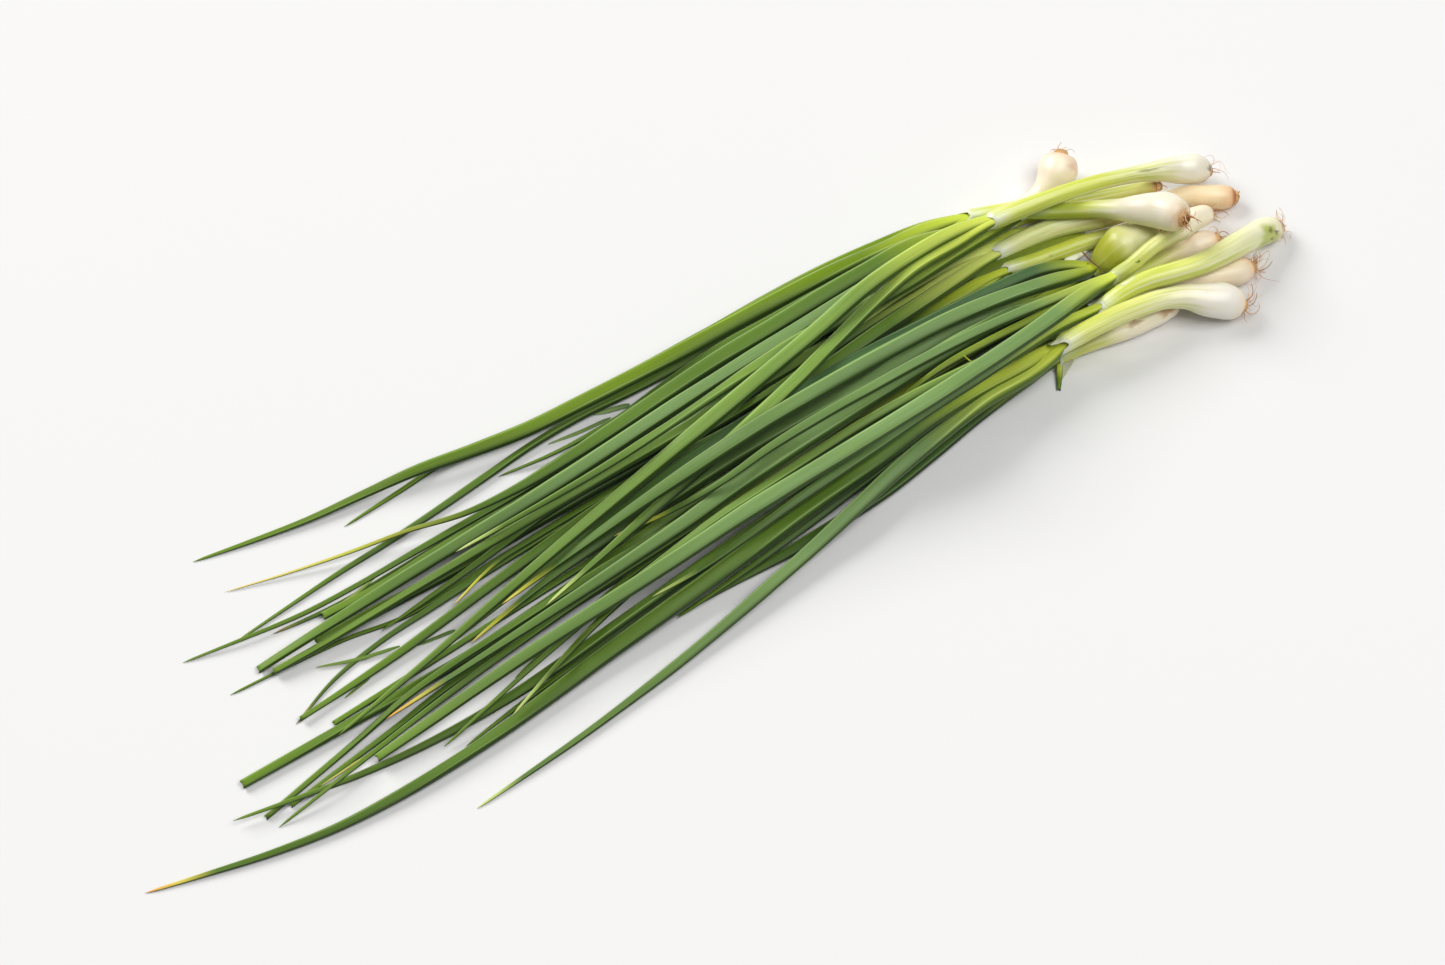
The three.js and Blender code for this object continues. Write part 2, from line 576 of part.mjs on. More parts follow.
/** Lets all strands sink onto the table and onto one another, until no two are in each other's way. */
function settle(plants) {
  const strands = plants.flatMap((plant) => [plant.stemStrand, ...plant.leafStrands]);
  strands.forEach(place);
  const meetings = findMeetings(strands);
  const backwards = [...meetings].reverse();
  for (let round = 0; round < SETTLE_ROUNDS; round += 1) {
    const done = round / SETTLE_ROUNDS;
    const weight = done < 0.75 ? lerp(0.5, 0.12, done / 0.75) : 0.24 * (1 - done);
    const finishing = done > 0.9;
    for (const strand of strands) {
      strand.height = strand.height.map((h) => h - weight);
      if (strand.isStem) stiffen(strand, finishing ? 0.1 : 0.6);
      else if (!finishing) relax(strand, 0.22, 0.03);
    }
    for (let k = 0; k < (finishing ? 4 : 2); k += 1) {
      clearMeetings(plants, strands, k % 2 ? meetings : backwards);
    }
  }
  let worst = Infinity;
  for (let round = 0; round < CLEARING_ROUNDS && worst > SETTLED; round += 1) {
    worst = clearMeetings(plants, strands, meetings);
  }
  if (worst > SETTLED) throw new Error(`two strands are ${worst.toFixed(2)} mm too near`);
  strands.forEach(place);
  return strands;
}

// ---------------------------------------------------------------- solids
/** A closed solid from corner points and triangles. */
function solidFrom(points, triangles) {
  const vertProperties = new Float32Array(points.flatMap((p) => [p.x, p.y, p.z]));
  const triVerts = new Uint32Array(triangles.flat());
  return new wasm.Manifold(new wasm.Mesh({ numProp: 3, vertProperties, triVerts }));
}

/** A round bar through rings, one side down, with a flat end, a pointed "tip" or an "open", hollow cut. */
function tube(centres, radii, sides, { end = "flat", reach = 0.5, firstAxis = null } = {}) {
  const up = new THREE.Vector3(0, 0, 1);
  const points = [];
  const triangles = [];
  const axes = centres.map((_, i) => {
    const from = centres[Math.max(0, i - 1)];
    const to = centres[Math.min(centres.length - 1, i + 1)];
    return new THREE.Vector3().subVectors(to, from).normalize();
  });
  if (firstAxis) axes[0].copy(firstAxis);
  const addRing = (centre, axis, radius) => {
    const side = new THREE.Vector3().crossVectors(up, axis).normalize();
    const top = new THREE.Vector3().crossVectors(axis, side);
    for (let k = 0; k < sides; k += 1) {
      const angle = -Math.PI / 2 + (Math.PI * (2 * k + 1)) / sides;
      points.push(centre.clone()
        .addScaledVector(side, radius * Math.cos(angle))
        .addScaledVector(top, radius * Math.sin(angle)));
    }
    return points.length - sides;
  };
  const firsts = centres.map((centre, i) => addRing(centre, axes[i], radii[i]));
  const join = (a, b) => {
    for (let k = 0; k < sides; k += 1) {
      const n = (k + 1) % sides;
      triangles.push([a + k, a + n, b + k], [a + n, b + n, b + k]);
    }
  };
  for (let i = 1; i < firsts.length; i += 1) join(firsts[i - 1], firsts[i]);
  for (let k = 1; k < sides - 1; k += 1) triangles.push([0, k + 1, k]);
  const last = firsts[firsts.length - 1];
  const centre = centres[centres.length - 1];
  const axis = axes[axes.length - 1];
  const fan = (ring, apex) => {
    points.push(apex);
    for (let k = 0; k < sides; k += 1) {
      triangles.push([ring + k, ring + ((k + 1) % sides), points.length - 1]);
    }
  };
  if (end === "tip") {
    fan(last, centre.clone().addScaledVector(axis, reach));
  } else if (end === "open") {
    const outer = radii[radii.length - 1];
    const rim = addRing(centre, axis, outer - Math.min(LEAF_WALL, outer * 0.6));
    join(last, rim);
    fan(rim, centre.clone().addScaledVector(axis, -CUT_DEPTH));
  } else {
    for (let k = 1; k < sides - 1; k += 1) triangles.push([last, last + k, last + k + 1]);
  }
  return solidFrom(points, triangles);
}

/** The three.js geometry of a solid, with what dips under the table pressed flat on it. */
function geometryOf(solid) {
  const mesh = solid.getMesh();
  const position = new Float32Array(mesh.numVert * 3);
  for (let i = 0; i < mesh.numVert; i += 1) {
    for (let k = 0; k < 3; k += 1) position[i * 3 + k] = mesh.vertProperties[i * mesh.numProp + k];
    position[i * 3 + 2] = Math.max(0, position[i * 3 + 2]);
  }
  const geometry = new THREE.BufferGeometry();
  geometry.setAttribute("position", new THREE.BufferAttribute(position, 3));
  geometry.setIndex(new THREE.BufferAttribute(new Uint32Array(mesh.triVerts), 1));
  return geometry;
}

/** The way a strand points at one of its ends. */
function endAxis(strand, atStart) {
  const p = strand.points;
  const [from, to] = atStart ? [p[1], p[0]] : [p[p.length - 2], p[p.length - 1]];
  return new THREE.Vector3().subVectors(to, from).normalize();
}

function bulbSolid(plant) {
  const strand = plant.stemStrand;
  return tube(strand.points, strand.rings.map((ring) => ring[2]), STEM_SIDES);
}

/** All leaves of one plant, fused at the fork, starting a little beyond the collar. */
function leavesSolid(plant) {
  const stem = plant.stemStrand;
  const axis = endAxis(stem, false);
  const collarRadius = stem.rings[stem.rings.length - 1][2];
  const solids = plant.leafStrands.map((leaf, n) => {
    const centres = leaf.points.map((p) => p.clone());
    const aim = new THREE.Vector3().subVectors(centres[2], centres[0]);
    aim.addScaledVector(axis, -aim.dot(axis));
    const shift = Math.min(0.34 * collarRadius, aim.length() * 0.5);
    centres[0].addScaledVector(axis, JOINT_GAP);
    if (aim.lengthSq() > 1e-6) centres[0].addScaledVector(aim.normalize(), shift);
    const radii = leaf.rings.map((ring) => ring[2]);
    const end = plant.leaves[n].end ? "open" : "tip";
    return tube(centres, radii, LEAF_SIDES, { end, firstAxis: axis });
  });
  return wasm.Manifold.union(solids);
}

/** Where the hard disc under a bulb lies. */
function basalPlate(plant) {
  const stem = plant.stemStrand;
  const axis = endAxis(stem, true);
  const base = stem.points[0].clone().addScaledVector(axis, JOINT_GAP);
  const plateEnd = base.clone().addScaledVector(axis, PLATE_HEIGHT);
  return { base, plateEnd, plateRadius: Math.min(PLATE_RADIUS, stem.rings[0][2]) };
}

/** Whether a root keeps clear of the bulbs and leaves of other plants. */
function isClearOfStrands(points, plant, strands) {
  return points.slice(1).every((p, n) => strands.every((strand) => {
    if (strand === plant.stemStrand) return true;
    return strand.points.slice(1).every((q, i) => {
      const c = closest(points[n], p, strand.points[i], q);
      return c.distance > ROOT_RADIUS + lerp(strand.rings[i][2], strand.rings[i + 1][2], c.t) + 0.45;
    });
  }));
}

/** Whether a root keeps clear of the basal plates and roots of other plants. */
function isClearOfRoots(points, plant, taken) {
  return points.slice(1).every((p, n) => taken.every((root) => {
    if (root.plant === plant) return true;
    return root.points.slice(1).every((q, i) => {
      const c = closest(points[n], p, root.points[i], q);
      return c.distance > ROOT_RADIUS + root.radius + 0.45;
    });
  }));
}

/** The basal plate and its roots: each root curls away in its own direction, where there is room for it. */
function rootsSolid(plant, strands, taken, seed) {
  const random = randomSource(seed);
  const stem = plant.stemStrand;
  const axis = endAxis(stem, true);
  const { base, plateEnd, plateRadius } = basalPlate(plant);
  const solids = [tube([base, plateEnd], [plateRadius, plateRadius * 0.72], 8)];
  const side = new THREE.Vector3().crossVectors(new THREE.Vector3(0, 0, 1), axis).normalize();
  const top = new THREE.Vector3().crossVectors(axis, side);
  const lean = new THREE.Vector3(...plant.roots.lean);
  let made = 0;
  for (let attempt = 0; attempt < 600 && made < plant.roots.count; attempt += 1) {
    const turn = ((made + random() * 0.8) / plant.roots.count) * Math.PI * 2;
    const out = side.clone().multiplyScalar(Math.cos(turn)).addScaledVector(top, Math.sin(turn));
    const start = base.clone().addScaledVector(axis, PLATE_HEIGHT * 0.45)
      .addScaledVector(out, plateRadius * 0.42);
    const heading = axis.clone().addScaledVector(out, 0.35 + random() * 0.8).addScaledVector(lean, 0.6)
      .normalize();
    const turnAxis = new THREE.Vector3().crossVectors(heading, lean)
      .addScaledVector(heading, random() - 0.5).addScaledVector(out, (random() - 0.5) * 0.8).normalize();
    const curl = 0.3 + random() * 0.55;
    const step = (plant.roots.length * (0.6 + random() * 0.6) * (1 - attempt / 900)) / ROOT_STEPS;
    const points = [start];
    for (let k = 0; k < ROOT_STEPS; k += 1) {
      points.push(points[k].clone().addScaledVector(heading, step));
      heading.applyAxisAngle(turnAxis, curl);
    }
    points.forEach((p) => {
      p.z = Math.max(p.z, ROOT_RADIUS + 0.1);
    });
    if (points.some((p) => p.clone().sub(base).dot(axis) < ROOT_RADIUS + 0.1)) continue;
    if (!isClearOfStrands(points, plant, strands)) continue;
    if (!isClearOfRoots(points, plant, taken)) continue;
    taken.push({ plant, points, radius: ROOT_RADIUS });
    const radii = points.map((_, k) => lerp(1.12, 0.84, k / ROOT_STEPS) * ROOT_RADIUS);
    solids.push(tube(points, radii, ROOT_SIDES, { end: "tip", reach: 0.4 }));
    made += 1;
  }
  return wasm.Manifold.union(solids);
}

// ---------------------------------------------------------------- the bunch
function buildBunch() {
  const plants = PLANTS.map((plant) => ({ ...plant }));
  for (const plant of plants) {
    plant.stemStrand = stemStrand(plant);
    plant.leafStrands = plant.leaves.map((leaf) => leafStrand(plant, leaf));
  }
  const strands = settle(plants);

  const colours = { bulb: 0xf0e6cf, leaves: 0x6f9a4c, roots: 0xa9824f };
  const roughness = { bulb: 0.45, leaves: 0.6, roots: 0.9 };
  const group = new THREE.Group();
  group.name = "spring_onion_bunch";
  const taken = plants.map((plant) => {
    const { base, plateEnd, plateRadius } = basalPlate(plant);
    return { plant, points: [base, plateEnd], radius: plateRadius };
  });
  plants.forEach((plant, n) => {
    const solids = {
      bulb: bulbSolid(plant),
      leaves: leavesSolid(plant),
      roots: rootsSolid(plant, strands, taken, 11 + n * 7),
    };
    for (const [kind, solid] of Object.entries(solids)) {
      const material = new THREE.MeshStandardMaterial({ color: colours[kind], roughness: roughness[kind] });
      const mesh = new THREE.Mesh(geometryOf(solid), material);
      mesh.name = `${plant.name}_${kind}`;
      group.add(mesh);
    }
  });

  // The frame's origin: the middle of the bounding box, on the table.
  const box = new THREE.Box3().setFromObject(group);
  const middle = box.getCenter(new THREE.Vector3());
  group.children.forEach((mesh) => mesh.geometry.translate(-middle.x, -middle.y, 0));
  return group;
}

export default buildBunch();
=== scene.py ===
"""A bunch of spring onions, lying down: the looks of its bulbs, shafts, leaves, sheaths and roots.

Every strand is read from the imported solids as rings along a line, then drawn again as one smooth closed
surface: rows along the strand, columns round it. Lengths are in metres, colours are given as sRGB.
"""
import logging
from collections.abc import Iterable, Sequence
from dataclasses import dataclass, field
from enum import Enum
from itertools import islice
from typing import ClassVar

import bpy
import numpy as np
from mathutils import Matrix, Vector


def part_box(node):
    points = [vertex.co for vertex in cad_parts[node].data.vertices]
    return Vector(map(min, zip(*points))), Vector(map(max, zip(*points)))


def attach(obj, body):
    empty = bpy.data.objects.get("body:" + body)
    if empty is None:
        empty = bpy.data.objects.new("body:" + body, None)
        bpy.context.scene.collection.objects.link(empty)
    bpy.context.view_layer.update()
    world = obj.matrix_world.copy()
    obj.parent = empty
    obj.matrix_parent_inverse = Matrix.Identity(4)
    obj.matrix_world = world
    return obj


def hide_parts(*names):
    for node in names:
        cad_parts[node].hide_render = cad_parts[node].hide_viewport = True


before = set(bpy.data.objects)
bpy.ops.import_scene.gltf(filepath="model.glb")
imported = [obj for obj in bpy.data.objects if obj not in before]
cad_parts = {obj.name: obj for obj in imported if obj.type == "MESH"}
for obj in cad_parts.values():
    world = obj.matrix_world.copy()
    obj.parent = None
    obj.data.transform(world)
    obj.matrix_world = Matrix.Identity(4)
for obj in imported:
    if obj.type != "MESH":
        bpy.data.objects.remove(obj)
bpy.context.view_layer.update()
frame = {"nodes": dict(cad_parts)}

LOG = logging.getLogger("spring_onions")
MM = 0.001
UP = np.array([0.0, 0.0, 1.0])
FULL_TURN = 2 * np.pi
FLOOR_GAP = 0.02 * MM  # nothing lies lower than this
THINNEST = 0.05 * MM  # no strand's radius is less
FINE_STEP = 2 * MM  # between the rings of strands that distances are measured from

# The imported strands.
MERGE = 1e-6  # corners nearer than this are one corner
LEAF_SIDES, STEM_SIDES, ROOT_SIDES = 6, 12, 3  # corners of a ring
CORNER_SHARE = 1.07  # a leaf ring's corners stand out by this share of its drawn radius
UNEVEN = 0.3  # a ring's arms may differ by this share of their mean
FLAT = 0.9  # faces of one flat end agree by at least this cosine

# Following a leaf into the fork. Lengths from the collar.
RING_GAPS = (25 * MM, 11 * MM)  # between a leaf's rings: along it, and close to the fork
GAP_RANGE = (0.78, 1.28)  # the least and the most of a gap, as shares of it
CLOSE_RINGS = 33 * MM  # within this the rings stand close
FIRST_RING = 14.5 * MM  # no ring is nearer than this
NARROWING = 55 * MM  # within this a ring may be narrower than the one before it
GROWTHS = tuple(1.15**k for k in range(16))  # how much the ring behind a tip may be wider than the tip's
SHRINKS = (1.0, 0.97, 0.93, 0.9, 0.85, 0.8, 0.75, 0.7)  # how much a leaf's ring may narrow towards the fork
AGREEING = (1.2 * MM, 0.7 * MM)  # guesses this near agree: behind a tip, and elsewhere
STRAYING = (2.5 * MM, 6.5 * MM)  # how far off the cubic a middle may be: two guesses agree, and more
Guess = tuple[np.ndarray, int, int, float]  # a ring's middle, the corner it came from, its way, the scale


# ---------------------------------------------------------------- numbers along a line
def srgb(red: float, green: float, blue: float) -> np.ndarray:
    """Returns the linear colour of an sRGB colour given as 0 to 255."""
    c = np.array([red, green, blue]) / 255.0
    return np.where(c <= 0.04045, c / 12.92, ((c + 0.055) / 1.055) ** 2.4)


def smoothstep(low: float, high: float, x: np.ndarray) -> np.ndarray:
    """Returns 0 under low and 1 over high, with the smooth cubic 3t^2 - 2t^3 between."""
    t = np.clip((x - low) / (high - low), 0.0, 1.0)
    return t * t * (3.0 - 2.0 * t)


def unit(v: np.ndarray) -> np.ndarray:
    """Returns each row of v divided by its length."""
    return v / np.maximum(np.linalg.norm(v, axis=-1, keepdims=True), 1e-12)


def towards(a: np.ndarray, b: np.ndarray, share: np.ndarray | float) -> np.ndarray:
    """Returns a, moved towards b by a share of the way."""
    return a + (b - a) * share


def lengths_along(points: np.ndarray) -> np.ndarray:
    """Returns the distance of each point from the first, along the line through them."""
    return np.concatenate([[0.0], np.cumsum(np.linalg.norm(np.diff(points, axis=0), axis=1))])


def hermite(
    start: np.ndarray,
    slope: np.ndarray,
    end: np.ndarray,
    end_slope: np.ndarray,
    span: np.ndarray | float,
    t: np.ndarray,
) -> np.ndarray:
    """Works out the cubic with given values and slopes at its two ends.

    It is (2t^3 - 3t^2 + 1) start + (t^3 - 2t^2 + t) span slope + (3t^2 - 2t^3) end
    + (t^3 - t^2) span end slope.

    Args:
        start: The value at t = 0.
        slope: The change per length there.
        end: The value at t = 1.
        end_slope: The change per length there.
        span: The length from start to end.
        t: The share of the span, 0 to 1.

    Returns:
        The values at t.
    """
    return (
        (2 * t**3 - 3 * t**2 + 1) * start
        + (t**3 - 2 * t**2 + t) * span * slope
        + (3 * t**2 - 2 * t**3) * end
        + (t**3 - t**2) * span * end_slope
    )


def carried(known: np.ndarray, at: np.ndarray, wanted: np.ndarray, steady: bool = False) -> np.ndarray:
    """Carries rows of numbers smoothly through a line of stations.

    Between two stations it is the cubic with the stations' own values and slopes; a slope is the
    change between the neighbours over their distance. Steady numbers don't swing past the stations:
    a slope is 0 at a highest or lowest one, and elsewhere the harmonic mean of the changes beside it.

    Args:
        known: One row of numbers per station.
        at: The place of each station, rising.
        wanted: The places to work out.
        steady: Whether the numbers are steady.

    Returns:
        One row of numbers per wanted place.
    """
    gaps = np.diff(at)[:, None]
    steps = np.diff(known, axis=0) / gaps
    before, after = steps[:-1], steps[1:]
    slopes = np.concatenate([steps[:1], before, steps[-1:]])
    if steady:
        same = before * after > 0
        slopes[1:-1] = np.where(same, 2 * before * after / np.where(same, before + after, 1.0), 0.0)
    else:
        slopes[1:-1] = (before * gaps[1:] + after * gaps[:-1]) / (gaps[1:] + gaps[:-1])
    i = np.clip(np.searchsorted(at, wanted, side="right") - 1, 0, len(at) - 2)
    t = np.clip((wanted - at[i])[:, None] / gaps[i], 0.0, 1.0)
    return hermite(known[i], slopes[i], known[i + 1], slopes[i + 1], gaps[i], t)


def cubic(
    start: np.ndarray, way: np.ndarray, end: np.ndarray, end_way: np.ndarray, t: np.ndarray
) -> np.ndarray:
    """Returns the cubic's points at t: it leaves `start` along `way` and meets `end` along `end_way`."""
    return hermite(start, way, end, end_way, np.linalg.norm(end - start), t[:, None])


def colour_rows(stops: Sequence[tuple[float, np.ndarray]], at: np.ndarray) -> np.ndarray:
    """Returns the colour at each place of `at`, straight between the stops' places."""
    places, colours = (np.array(part) for part in zip(*stops))
    return np.stack([np.interp(at, places, colours[:, k]) for k in range(3)], axis=-1)


def wander(rng: np.random.Generator, at: np.ndarray, wave: float, terms: int = 4) -> np.ndarray:
    """Swings slowly and at random between about -1 and 1: a sum of sines of near wavelengths.

    Args:
        rng: The random numbers.
        at: The places along a line.
        wave: The wavelengths' middle.
        terms: How many sines.

    Returns:
        The swing at each place.
    """
    waves = wave * rng.uniform(0.5, 1.6, terms)
    phases = rng.uniform(0.0, FULL_TURN, terms)
    return np.sin(at[:, None] / waves * FULL_TURN + phases).sum(axis=1) / np.sqrt(2 * terms)


def phase(rng: np.random.Generator) -> float:
    """Returns a random angle of about a full turn at most."""
    return rng.uniform(0, 6.3)


# ---------------------------------------------------------------- columns round a strand
def turns(columns: int) -> np.ndarray:
    """Returns the angle of each column round a strand."""
    return np.arange(columns) / columns * FULL_TURN


def angle_from(turn: np.ndarray, degrees: float) -> np.ndarray:
    """Returns each column's angle from a direction in degrees, from -pi to pi."""
    return np.angle(np.exp(1j * (turn - np.radians(degrees))))


def square_to(along: np.ndarray) -> tuple[np.ndarray, np.ndarray]:
    """Returns the level direction square to `along`, and the one on top that is square to both."""
    side = unit(np.cross(UP, along))
    return side, np.cross(along, side)


def circle(turn: np.ndarray, side: np.ndarray, top: np.ndarray) -> np.ndarray:
    """Returns the unit circle at each row: the cosine of the turn along `side`, the sine along `top`."""
    return np.cos(turn)[:, None] * side[..., None, :] + np.sin(turn)[:, None] * top[..., None, :]


def ovals(
    centre: np.ndarray, side: np.ndarray, top: np.ndarray, wide: np.ndarray, high: np.ndarray
) -> np.ndarray:
    """Lays a section round each row's centre: centre + wide times side + high times top.

    Args:
        centre: The rows' centres.
        side: The rows' directions across the strand.
        top: The rows' directions over it.
        wide: The corners' places along `side`, as (row, column).
        high: The corners' places along `top`, as (row, column).

    Returns:
        The corners, as (row, column, xyz).
    """
    return centre[:, None] + side[:, None] * wide[..., None] + top[:, None] * high[..., None]


def grain_rows(turn: np.ndarray, along: np.ndarray, radius: float, shift: float) -> np.ndarray:
    """Works out the place on a strand that its grain follows, in millimetres.

    It is the column's place on a circle, moved by a number of the strand's own, and the distance along.

    Args:
        turn: The columns' angles.
        along: The rows' distances along the strand.
        radius: The circle's radius.
        shift: The strand's own number.

    Returns:
        The places, as (row, column, xyz).
    """
    size = (len(along), len(turn))
    ring = np.stack([np.cos(turn), np.sin(turn)], axis=-1) * radius + shift
    return np.concatenate(
        [np.broadcast_to(ring, (*size, 2)), np.broadcast_to(along[:, None, None], (*size, 1))], axis=-1
    )


def all_round(tint: np.ndarray, columns: int) -> np.ndarray:
    """Returns each row's colour for every one of its columns."""
    return np.repeat(tint[:, None, :], columns, axis=1)


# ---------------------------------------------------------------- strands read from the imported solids
@dataclass
class Strand:
    """A line of rings: their centres and radii, from where the strand starts to its end."""

    centre: np.ndarray
    radius: np.ndarray
    is_open: bool = False

    @property
    def tip(self) -> np.ndarray:
        """The centre of the last ring."""
        return self.centre[-1]

    @property
    def end_way(self) -> np.ndarray:
        """The direction of the last piece."""
        return unit(self.centre[-1] - self.centre[-2])

    def resampled(self, step: float) -> "Strand":
        """Lays new rings on a smooth line through the rings.

        Args:
            step: About how far apart they lie.

        Returns:
            The same strand with the new rings.
        """
        at = lengths_along(self.centre)
        wanted = np.linspace(0.0, at[-1], max(4, int(at[-1] / step) + 1))
        centre = carried(self.centre, at, wanted)
        radius = carried(self.radius[:, None], at, wanted, steady=True)[:, 0]
        return Strand(centre, np.maximum(radius, THINNEST), self.is_open)

    def axes(self, calm: int = 0) -> tuple[np.ndarray, np.ndarray]:
        """Works out at each ring the level direction square to the strand and the one on top.

        Args:
            calm: How many rings on each side share in the strand's direction, so that rings of a thick,
                bent strand don't cut one another.

        Returns:
            The two directions, each one row per ring.
        """
        along = unit(np.gradient(self.centre, axis=0))
        if calm:
            padded = np.pad(along, ((calm, calm), (0, 0)), mode="edge")
            weights = np.hanning(2 * calm + 3)[1:-1]
            parts = [np.convolve(padded[:, k], weights, mode="valid") for k in range(3)]
            along = unit(np.stack(parts, axis=-1))
        return square_to(along)


def joined(strands: Iterable[Strand]) -> Strand:
    """Returns the rings of many strands in one list, to measure distances from."""
    fine = [strand.resampled(FINE_STEP) for strand in strands]
    return Strand(np.concatenate([s.centre for s in fine]), np.concatenate([s.radius for s in fine]))


class Solid:
    """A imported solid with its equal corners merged, so that it can be walked ring by ring."""

    def __init__(self, node: bpy.types.Object) -> None:
        """Reads the node's corners and faces.

        Args:
            node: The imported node's object, which is only read.
        """
        mesh = node.data
        raw = np.empty(len(mesh.vertices) * 3, np.float32)
        mesh.vertices.foreach_get("co", raw)
        mesh.calc_loop_triangles()
        faces = np.empty(len(mesh.loop_triangles) * 3, np.int32)
        mesh.loop_triangles.foreach_get("vertices", faces)
        key = np.round(raw.reshape(-1, 3).astype(float) / MERGE).astype(np.int64)
        merged, place = np.unique(key, axis=0, return_inverse=True)
        self.corners = merged * MERGE
        self.faces = place.reshape(-1)[faces].reshape(-1, 3)
        self.near: list[set[int]] = [set() for _ in merged]
        for a, b, c in self.faces.tolist():
            self.near[a] |= {b, c}
            self.near[b] |= {a, c}
            self.near[c] |= {a, b}
        for corner, near in enumerate(self.near):
            near.discard(corner)

    def walk(self, start: set[int], sides: int) -> list[list[int]]:
        """Walks on from some corners, ring by ring, as long as the next ring is whole.

        Args:
            start: The corners to start from.
            sides: How many corners a whole ring has.

        Returns:
            The rings' corners.
        """
        rings, last, seen = [], set(start), set(start)
        while True:
            ring = set().union(*(self.near[i] for i in last)) - seen
            if len(ring) != sides:
                return rings
            rings.append(sorted(ring))
            last, seen = ring, seen | ring

    def _strand(self, rings: list[list[int]]) -> Strand:
        """Makes a strand of rings: their middles, and their corners' mean distances from them.

        Args:
            rings: The rings' corners.

        Returns:
            The strand.
        """
        centre = np.array([self.corners[ring].mean(axis=0) for ring in rings])
        arms = [np.linalg.norm(self.corners[ring] - c, axis=1) for ring, c in zip(rings, centre)]
        return Strand(centre, np.array([arm.mean() for arm in arms]))

    def branches(
        self, sides: int, least: int, corner_share: float, stem: Strand | None = None
    ) -> list[Strand]:
        """Finds each branch that ends in a point or in a hollow cut, and follows it back to the fork.

        Args:
            sides: How many corners each of its rings has.
            least: The fewest rings of a branch.
            corner_share: How far a ring's corners stand out, as a share of its drawn radius.
            stem: The stem they grow from, to follow them on into the fork.

        Returns:
            The branches, each from its first known ring to its end.
        """
        found = []
        for apex, near in enumerate(self.near):
            if len(near) != sides:
                continue
            rings = self.walk({apex}, sides)
            arms = np.linalg.norm(self.corners[rings[0]] - self.corners[rings[0]].mean(axis=0), axis=1)
            if len(rings) < least or arms.std() > UNEVEN * arms.mean():
                continue
            whole = self._strand(rings)
            centre, radius = whole.centre, whole.radius / corner_share
            reach = self.corners[apex] - centre[0]
            is_open = len(centre) > 2 and reach @ (centre[1] - centre[-1]) < 0
            more = self._into_fork(apex, rings, stem) if stem else []
            if more:
                radius = np.concatenate([radius, [radius[-1] * size for _, size in more]])
                centre = np.vstack([centre, [middle for middle, _ in more]])
            if is_open:
                centre, radius = centre[1:], radius[1:]
            elif len(centre) == 1:
                centre, radius = np.array([self.corners[apex], centre[0]]), np.repeat(radius, 2)
            else:
                centre[0] = self.corners[apex]
            found.append(Strand(centre[::-1].copy(), radius[::-1].copy(), is_open))
        return found

    def _into_fork(self, apex: int, rings: list[list[int]], stem: Strand) -> list[tuple[np.ndarray, float]]:
        """Finds the middles of a leaf's rings that have lost the corners inside other leaves.

        All rings of a leaf point their corners the same six ways. A corner joined to the last ring, less
        its own arm from the middle, is a guess at the next middle; the guess that most of the six agree
        on is taken. It must lie near the cubic that leads from the stem to the last ring.

        Args:
            apex: The corner at the tip.
            rings: The whole rings, from the tip on.
            stem: The stem, which ends at the collar.

        Returns:
            Each further middle with its size as a share of the last whole ring's.
        """
        last, before = (self.corners[ring].mean(axis=0) for ring in ([apex], *rings)[:-3:-1])
        heading = unit(before - last)
        side, top = square_to(heading)
        arms = self.corners[rings[-1]] - last
        angle = np.degrees(np.arctan2(arms @ top, arms @ side))
        ways = np.round(angle / (360 / LEAF_SIDES) + 1).astype(int) % LEAF_SIDES
        ring = {int(k): corner for k, corner in zip(ways, rings[-1])}
        if len(ring) < LEAF_SIDES:
            return []
        arms = np.array([self.corners[ring[k]] - last for k in range(LEAF_SIDES)])
        seen = set().union(*rings)
        found, size = [], 1.0
        while True:
            away = np.linalg.norm(last - stem.tip)
            if away < FIRST_RING:
                return found
            gap = RING_GAPS[0] if away > CLOSE_RINGS else RING_GAPS[1]
            at_tip = len(rings) + len(found) == 1
            guesses = [
                (self.corners[other] - arms[m] * scale, other, m, scale)
                for scale in (GROWTHS if at_tip else SHRINKS if away < NARROWING else (1.0,))
                for k, corner in ring.items()
                for other in self.near[corner] - seen
                for m in (k, (k + 1) % LEAF_SIDES)
            ]
            low, high = (share * gap for share in GAP_RANGE)
            guesses = [g for g in guesses if low < np.linalg.norm(g[0] - last) < high]
            if not guesses:
                return found
            count, agree = self._most_agreed(guesses, AGREEING[0] if at_tip else AGREEING[1])
            scale = agree[0][3]
            middle = np.mean([g[0] for g in agree], axis=0)
            path = cubic(stem.tip, stem.end_way, last, heading, np.linspace(0, 1, 50))
            off = float(np.linalg.norm(path - middle, axis=1).min())
            LOG.debug("fork ring: %d agree, %.2f mm off, size %.2f", count, off / MM, scale)
            if count < 2 or off > (STRAYING[1] if count > 2 else STRAYING[0]):
                return found
            size *= scale
            arms = arms * scale
            found.append((middle, size))
            seen |= set(ring.values())
            ring = {g[2]: g[1] for g in agree}
            heading, last = unit(last - middle), middle

    @staticmethod
    def _most_agreed(guesses: list[Guess], within: float) -> tuple[int, list[Guess]]:
        """Finds the guess at a ring's middle that the most of its corners agree on.

        Args:
            guesses: The guesses.
            within: Guesses nearer than this, and of the same scale, agree.

        Returns:
            How many ways agree, and the guesses that do.
        """
        places = np.array([g[0] for g in guesses])
        best = (0, 0.0, [])
        for guess in guesses:
            near = np.linalg.norm(places - guess[0], axis=1) < within
            agree = [g for g, is_near in zip(guesses, near) if is_near and g[3] == guess[3]]
            spread = np.array([g[0] for g in agree]).std(axis=0)
            score = (len({g[2] for g in agree}), -float(spread.sum()))
            if score > best[:2]:
                best = (*score, agree)
        return best[0], best[2]

